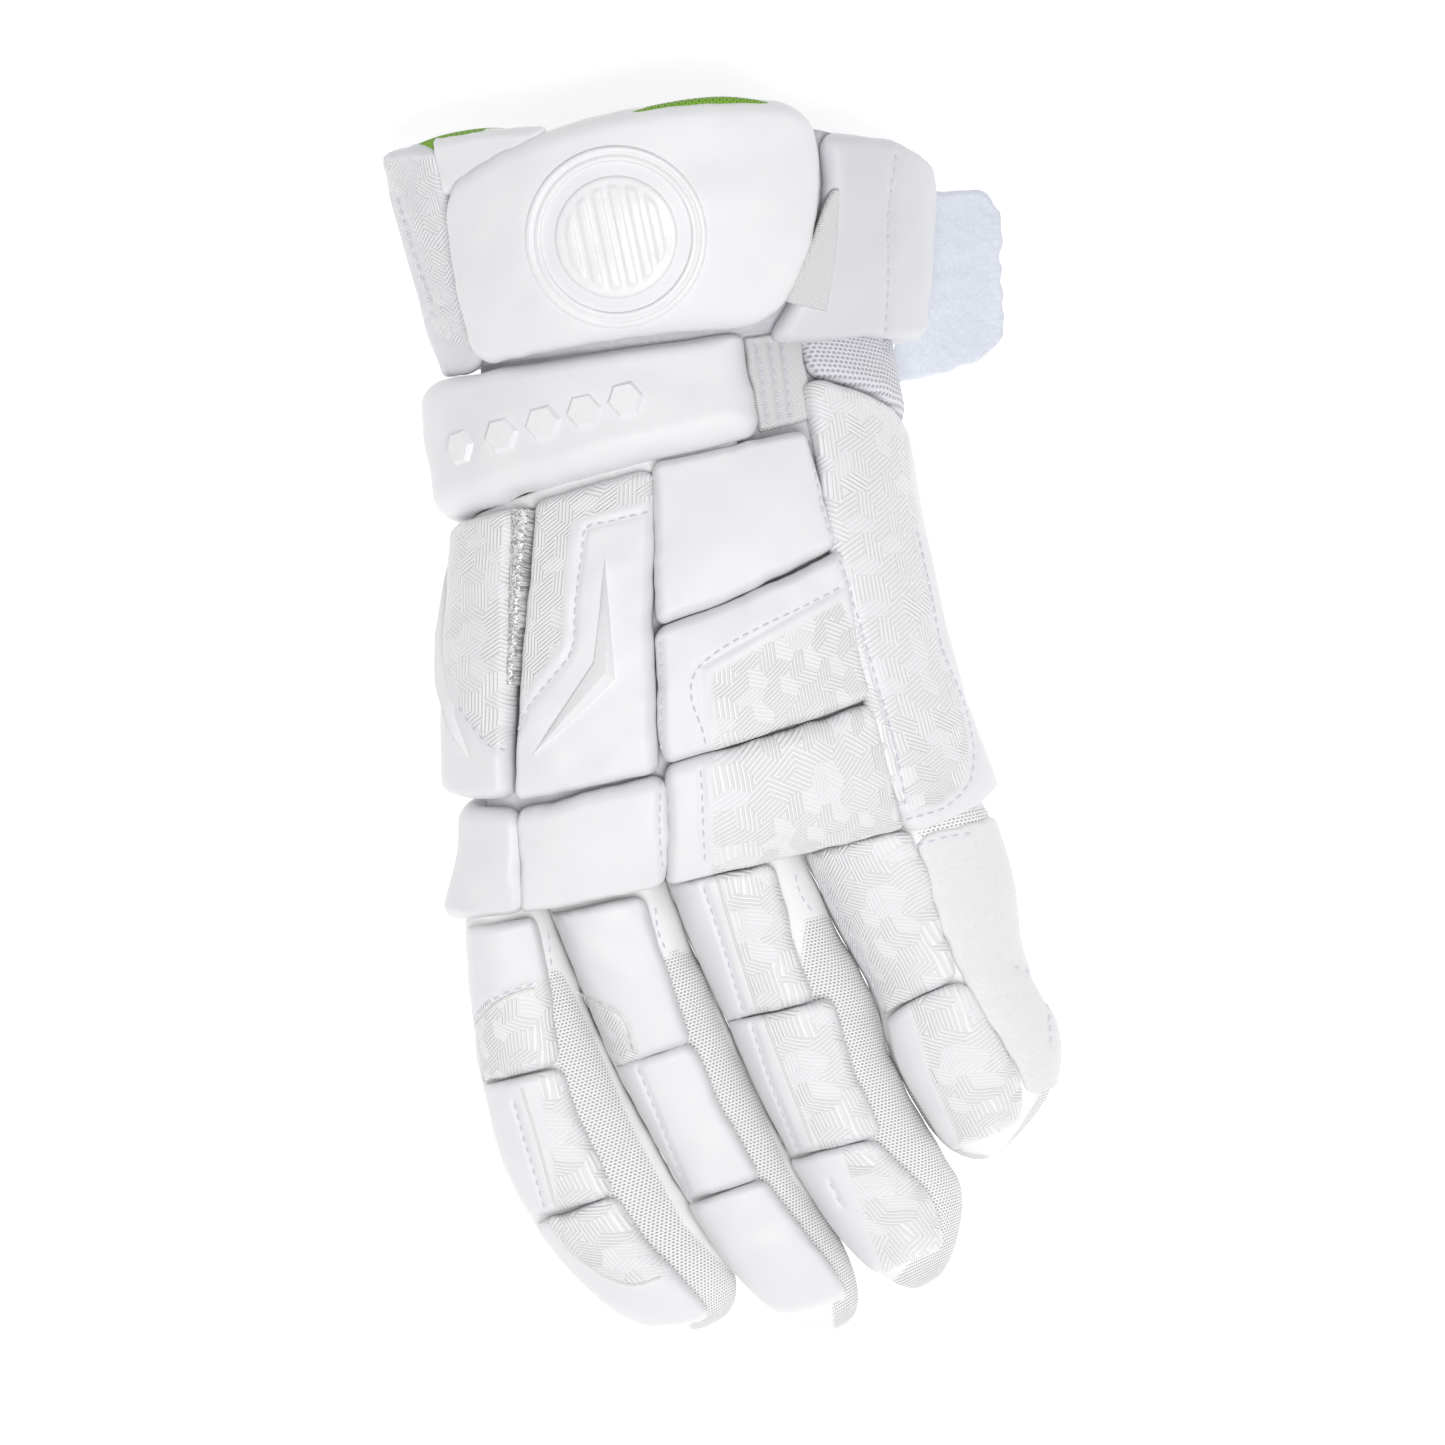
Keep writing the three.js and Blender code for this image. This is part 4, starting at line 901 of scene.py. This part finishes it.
for name, band in bands.items():
    built[name] = settle(makeBand(name, band), [name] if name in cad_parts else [])
print("bands made:", len(bands))


def carrier(names):
    # what is already made, for dropping things on it from straight above
    vertices, faces = [], []
    for name in names:
        mesh = built[name].data
        start = len(vertices)
        vertices += [v.co.copy() for v in mesh.vertices]
        faces += [[start + i for i in p.vertices] for p in mesh.polygons]
    return BVHTree.FromPolygons(vertices, faces)


def dropOn(tree, x, y):
    world = toWorld([[x, y, 0]])[0]
    return tree.ray_cast(Vector((world[0], world[1], 0.3)), Vector((0, 0, -1)))[:2]


def heightsBelow(tree, x, y, spare):
    spots = [dropOn(tree, *place)[0] for place in zip(x.ravel(), y.ravel())]
    return np.array([spot.z * 1000 if spot else spare for spot in spots]).reshape(x.shape)


def layered(x, y, top, low):
    return np.concatenate([np.stack([x, y, z], -1).reshape(-1, 3) for z in (top, low)])


# moulded ridge: a high spine between two thin edges, in the picture's pixels
ridge = {"high": 3.2, "sink": 1.5, "steps": 49, "fade": 6, "least": 0.12, "share": (0.35, 0.72, 1.0, 0.72, 0.35),
         "spine": [(606, 559), (607, 620), (606, 674), (571, 713), (534, 755)],
         "left": [(606, 559), (601, 615), (595, 664), (565, 709), (534, 755)],
         "right": [(606, 559), (611, 620), (616, 680), (577, 718), (534, 755)]}


def makeRidge():
    f, knots = np.linspace(0, 1, ridge["steps"]), np.linspace(0, 1, len(ridge["spine"]))
    left, spine, right = (np.stack([np.interp(f, knots, column) for column in np.array(ridge[key], float).T], -1)
                          for key in ("left", "spine", "right"))
    strips = np.stack([left, (left + spine) / 2, spine, (right + spine) / 2, right], 1)
    x, y = toTable(strips[..., 0], strips[..., 1])
    ground = heightsBelow(carrier(["hand_pad_index_inner"]), x, y, 60.0)
    fade = np.minimum(1, np.minimum(f, 1 - f) * ridge["fade"] + ridge["least"])
    points = layered(x, y, ground + ridge["high"] * fade[:, None] * ridge["share"], ground - ridge["sink"])
    return makeSolid("raised_hand_ridge_inner", points, blockFaces(*x.shape), points[:, :2], "rubber", False)


built["hand_ridge_inner"] = settle(makeRidge(), ["hand_ridge_inner"])
print("ridge made")

# round badge: a ring and a disc with plain raised ribs
badge = {"at": (0.433, 0.45), "outer": 24.0, "band": 4.2, "disc": 16.2, "thick": 1.4, "rings": 40, "around": 160,
         "edge": 0.9, "power": 2.4, "groove": 0.35, "grooveWidth": 0.12, "ribHigh": 0.45, "ribPitch": 9.0, "sink": 0.6}


def makeBadge(name, inner, outer, height):
    centre = overTube("cuff", *badge["at"], 10.0, 0.2)
    radii = np.linspace(inner, outer, badge["rings"])
    edge = np.minimum(radii - inner if inner > 0 else 99, outer - radii)
    lift = height * (1 - np.clip(1 - edge / badge["edge"], 0, 1) ** badge["power"]) ** (1 / badge["power"])
    angles = np.linspace(0, 2 * math.pi, badge["around"], endpoint=False)
    r, angle = np.meshgrid(radii, angles, indexing="ij")
    x, y = centre[0] + r * np.cos(angle), centre[1] + r * np.sin(angle)
    if inner > 0:
        middle = (radii - inner) / (outer - inner) - 0.5
        lift = (lift - badge["groove"] * height * np.exp(-(middle / badge["grooveWidth"]) ** 2))[:, None]
    else:
        ribs = softStep(np.abs(np.sin(x * 2 * math.pi / badge["ribPitch"])), 0.55, 0.75)
        lift = lift[:, None] + badge["ribHigh"] * ribs * softStep(outer * 0.86 - r, 0, 1.2)
    ground = heightsBelow(carrier(["cuff_plate"]), x, y, 80.0)
    points = layered(x, y, ground + lift, ground - badge["sink"])
    n, count = x.shape
    faces = shellFaces(n, n, count, start=inner > 0)
    if inner == 0:
        # one point in the middle in place of the first ring
        place = np.arange(len(points))
        place[:count], place[n * count: (n + 1) * count] = 0, n * count
        faces = [list(dict.fromkeys(int(place[i]) for i in face)) for face in faces]
        faces = [face for face in faces if len(face) > 2]
    points, faces, uv = compact(points, faces, points[:, :2])
    return makeSolid("raised_" + name, points, faces, uv, "rubber")


for name, size in {"badge_ring": (badge["outer"] - badge["band"], badge["outer"], badge["thick"]),
                   "badge_disc": (0, badge["disc"], badge["thick"] * 0.7)}.items():
    built[name] = settle(makeBadge(name, *size), [name])
print("badge made")

# loop tape lying out past the cuff: left x, left y, right x, right y, floor; flat and area are the cloth's, in metres
tape = {"thick": 2.6, "steps": 60, "uneven": 0.6, "nap": 0.18, "swell": 0.5, "edge": 1.3, "flat": (0.052, 0.035),
        "area": 0.00156, "rows": [
    [.438, .389, .38, .236, .42], [.491, .382, .435, .235, .26], [.541, .377, .487, .236, .13],
    [.573, .37, .524, .243, .08], [.586, .354, .553, .254, .09]]}


def makeTape():
    e = np.linspace(0, 1, tape["steps"])
    f = e[None, :]
    rows = spline(tape["rows"], e)
    x = (rows[:, 0:1] * (1 - f) + rows[:, 2:3] * f) * glove["width"]
    y = (rows[:, 1:2] * (1 - f) + rows[:, 3:4] * f) * glove["length"]
    z = np.broadcast_to(rows[:, 4:5] * glove["lift"], x.shape)
    # the cut edges are a little uneven
    x, y = x + tape["uneven"] * ripple(y, x * 0, 702, 9.0), y + tape["uneven"] * ripple(x, y * 0, 703, 9.0)
    nap = ripple(x, y, 700, 3.0) * tape["nap"] + ripple(x, y, 701, 24.0) * tape["swell"]
    edge = np.minimum(np.minimum(f, 1 - f) * 50, (1 - e[:, None]) * 40)
    rounding = (1 - np.clip(1 - edge / tape["edge"], 0, 1) ** 2) ** 0.5
    points = layered(x, y, z + tape["thick"] * (0.35 + 0.65 * rounding) + nap, np.maximum(z + nap * 0.5, 0.1))
    return makeSolid("soft_fastener_tape", points, blockFaces(*x.shape), points[:, :2], "loop")


built["fastener_tape"] = settle(makeTape(), ["fastener_tape"])
print("tape made")

# stitches, piping and the plain six-sided studs, in millimetres; from and to are in the picture's pixels
stitchShape = {"length": 2.0, "width": 0.6, "pitch": 2.9, "lift": 0.12}
pipeShape = {"radius": 0.4, "pitch": 0.8, "lift": 0.12}
studs = {"radius": 5.2, "height": 1.6, "from": (462, 449), "to": (626, 402), "count": 5, "sink": 0.3, "taper": 0.8}


def newRun(name, sizes, finish):
    # a tree with named inputs for its geometry, its sizes and its material
    tree = bpy.data.node_groups.new(name, "GeometryNodeTree")
    for label, kind in [("Geometry", "Geometry"), *((size, "Float") for size in sizes), (finish, "Material")]:
        tree.interface.new_socket(label, in_out="INPUT", socket_type="NodeSocket" + kind)
    tree.interface.new_socket("Geometry", in_out="OUTPUT", socket_type="NodeSocketGeometry")
    return tree, noodle(tree, "NodeGroupInput", {})


def finishRun(tree, geometry, material):
    real = noodle(tree, "GeometryNodeRealizeInstances", {"Geometry": geometry})["Geometry"]
    done = noodle(tree, "GeometryNodeSetMaterial", {"Geometry": real, "Material": material})["Geometry"]
    noodle(tree, "NodeGroupOutput", {"Geometry": done})
    return tree


def turnedTo(tree, label, axis, **more):
    # turns an axis to a vector kept on each point
    way = noodle(tree, "GeometryNodeInputNamedAttribute", {"Name": label}, data_type="FLOAT_VECTOR")["Attribute"]
    inputs = {"Vector": way, "Rotation": more.pop("rotation", None)}
    return noodle(tree, "FunctionNodeAlignRotationToVector", inputs, axis=axis, **more)["Rotation"]


def placedOn(tree, points, shape, rotation):
    inputs = {"Points": points, "Instance": shape, "Rotation": rotation}
    return noodle(tree, "GeometryNodeInstanceOnPoints", inputs)["Instances"]


def stitchTree():
    tree, given = newRun("stitchRun", ("Stitch Length", "Thread Width"), "Thread")
    bead = noodle(tree, "GeometryNodeMeshUVSphere", {"Segments": 8, "Rings": 6, "Radius": 0.5})["Mesh"]
    size = join(tree, given["Stitch Length"], given["Thread Width"], given["Thread Width"])
    shape = noodle(tree, "GeometryNodeTransform", {"Geometry": bead, "Scale": size})["Geometry"]
    turn = turnedTo(tree, "up", "Z", pivot_axis="X", rotation=turnedTo(tree, "way", "X"))
    return finishRun(tree, placedOn(tree, given["Geometry"], shape, turn), given["Thread"])


def pipeTree():
    tree, given = newRun("pipingRun", ("Cord Radius",), "Edging")
    path = noodle(tree, "GeometryNodeMeshToCurve", {"Mesh": given["Geometry"]})["Curve"]
    ring = noodle(tree, "GeometryNodeCurvePrimitiveCircle", {"Resolution": 8, "Radius": given["Cord Radius"]})["Curve"]
    sweep = noodle(tree, "GeometryNodeCurveToMesh", {"Curve": path, "Profile Curve": ring, "Fill Caps": True})["Mesh"]
    return finishRun(tree, sweep, given["Edging"])


def studTree():
    tree, given = newRun("studRun", ("Stud Radius", "Stud Height"), "Rubber")
    smaller = calc(tree, "MULTIPLY", given["Stud Radius"], studs["taper"])
    block = noodle(tree, "GeometryNodeMeshCone", {"Vertices": 6, "Radius Top": smaller, "Depth": given["Stud Height"],
                                                  "Radius Bottom": given["Stud Radius"]})["Mesh"]
    return finishRun(tree, placedOn(tree, given["Geometry"], block, turnedTo(tree, "up", "Z")), given["Rubber"])


def realised(name, mesh, tree, smooth, **values):
    # runs the tree on the mesh and keeps a plain mesh
    holder = addObject(name + "Path", mesh)
    modifier = holder.modifiers.new("run", "NODES")
    modifier.node_group = tree
    sockets = {item.name: item.identifier for item in tree.interface.items_tree if item.in_out == "INPUT"}
    for label, value in values.items():
        modifier[sockets[label]] = value
    graph = bpy.context.evaluated_depsgraph_get()
    graph.update()
    result = bpy.data.meshes.new_from_object(holder.evaluated_get(graph))
    bpy.data.objects.remove(holder)
    result.polygons.foreach_set("use_smooth", [smooth] * len(result.polygons))
    return addObject(name, result)


def runPoints(line, pitch):
    # evenly spaced pixel points along a smoothed line
    line = np.asarray(line, float)
    fine = spline(line, np.linspace(0, 1, 40 * len(line))) if len(line) > 2 else \
        line[0] + (line[1] - line[0]) * np.linspace(0, 1, 80)[:, None]
    run = np.concatenate([[0], np.linalg.norm(np.diff(fine, axis=0), axis=-1).cumsum()]) * view["mmPerPixel"]
    count = max(int(run[-1] / pitch), 1)
    at = (np.arange(count) + 0.5) * run[-1] / count
    return np.stack([np.interp(at, run, fine[:, 0]), np.interp(at, run, fine[:, 1])], -1)


def dropLine(tree, pixels, lift):
    spots, normals = [], []
    for px, py in pixels:
        spot, normal = dropOn(tree, *toTable(px, py))
        if spot is not None and normal.z >= 0.15:
            spots.append(spot + normal * lift * 0.001)
            normals.append(normal)
    return spots, normals


wholeGlove = carrier([name for name in built if name != "fastener_tape"])
stitchSpots, stitchWays, stitchUps = [], [], []
for line in [line for family in seamLines.values() for line in family]:
    spots, ups = dropLine(wholeGlove, runPoints(line, stitchShape["pitch"]), stitchShape["lift"])
    for k, spot in enumerate(spots):
        way = spots[min(k + 1, len(spots) - 1)] - spots[max(k - 1, 0)]
        if way.length >= 1e-6:
            stitchSpots.append(spot)
            stitchWays.append(way.normalized())
            stitchUps.append(ups[k])
mesh = spotMesh("stitchSpots", stitchSpots)
addAttribute(mesh, "way", stitchWays, "FLOAT_VECTOR")
addAttribute(mesh, "up", stitchUps, "FLOAT_VECTOR")
settle(realised("stitches", mesh, stitchTree(), True, **{
    "Stitch Length": stitchShape["length"] * 0.001, "Thread Width": stitchShape["width"] * 0.001,
    "Thread": looks["thread"]}), [])
print("stitches made:", len(stitchSpots))

pipeVerts, pipeEdges = [], []
for line in pipeLines.values():
    spots, ups = dropLine(wholeGlove, runPoints(line, pipeShape["pitch"]), pipeShape["lift"])
    start = len(pipeVerts)
    pipeVerts += spots
    pipeEdges += [(start + i, start + i + 1) for i in range(len(spots) - 1)]
settle(realised("piping", spotMesh("pipingPath", pipeVerts, pipeEdges), pipeTree(), True, **{
    "Cord Radius": pipeShape["radius"] * 0.001, "Edging": looks["piping"]}), [])
print("piping made:", len(pipeLines))

share = np.linspace(0, 1, studs["count"])[:, None]
spots, ups = dropLine(wholeGlove, np.array(studs["from"]) * (1 - share) + np.array(studs["to"]) * share, 0.0)
mesh = spotMesh("studSpots", [spot - up * studs["sink"] * 0.001 for spot, up in zip(spots, ups)])
addAttribute(mesh, "up", ups, "FLOAT_VECTOR")
settle(realised("strapStuds", mesh, studTree(), False, **{
    "Stud Radius": studs["radius"] * 0.001, "Stud Height": studs["height"] * 0.001,
    "Rubber": looks["rubber"]}), [])
print("studs made:", len(spots))

# sizes in metres, power in watts; aim is the height that the light points at
studio = {"floor": 3.0, "paper": (0.95, 0.95, 0.95), "glow": 0.55, "sky": (0.985, 0.985, 1.0), "world": 0.42,
          "key": 24.0, "keySize": 0.7, "keyAt": (0.1, -0.45, 2.0), "aim": 0.04, "sensor": 36.0, "near": 0.05}


def makeFloor():
    half = studio["floor"] / 2
    mesh = bpy.data.meshes.new("floor")
    mesh.from_pydata([(-half, -half, 0), (half, -half, 0), (half, half, 0), (-half, half, 0)], [], [(0, 1, 2, 3)])
    material, tree, shader = newMaterial("floorPaper", studio["paper"], 0.9, 0.0, 0.0)
    shader.inputs["Emission Color"].default_value = (1, 1, 1, 1)
    shader.inputs["Emission Strength"].default_value = studio["glow"]
    mesh.materials.append(material)
    return addObject("floor", mesh)


makeFloor()
world = bpy.data.worlds.new("studio")
world.use_nodes = True
sky = world.node_tree.nodes["Background"]
sky.inputs["Color"].default_value = (*studio["sky"], 1)
sky.inputs["Strength"].default_value = studio["world"]
bpy.context.scene.world = world
bpy.context.scene.view_settings.view_transform = "Standard"

data = bpy.data.lights.new("keyLight", "AREA")
data.energy, data.size = studio["key"], studio["keySize"]
lamp = addObject("keyLight", data)
lamp.location = studio["keyAt"]
lamp.rotation_euler = (Vector((0, 0, studio["aim"])) - lamp.location).to_track_quat("-Z", "Y").to_euler()

data = bpy.data.cameras.new("camera")
data.lens, data.sensor_width, data.clip_start = view["lens"], studio["sensor"], studio["near"]
camera = addObject("camera", data)
middle = toWorld([[*toTable(view["size"] / 2, view["size"] / 2), 0]])[0]
above = view["size"] * view["mmPerPixel"] * 0.001 * view["lens"] / studio["sensor"]
camera.location = (middle[0], middle[1], view["height"] + above)
camera.rotation_euler = (0, 0, math.radians(-view["turn"]))
bpy.context.scene.camera = camera
print("studio made")
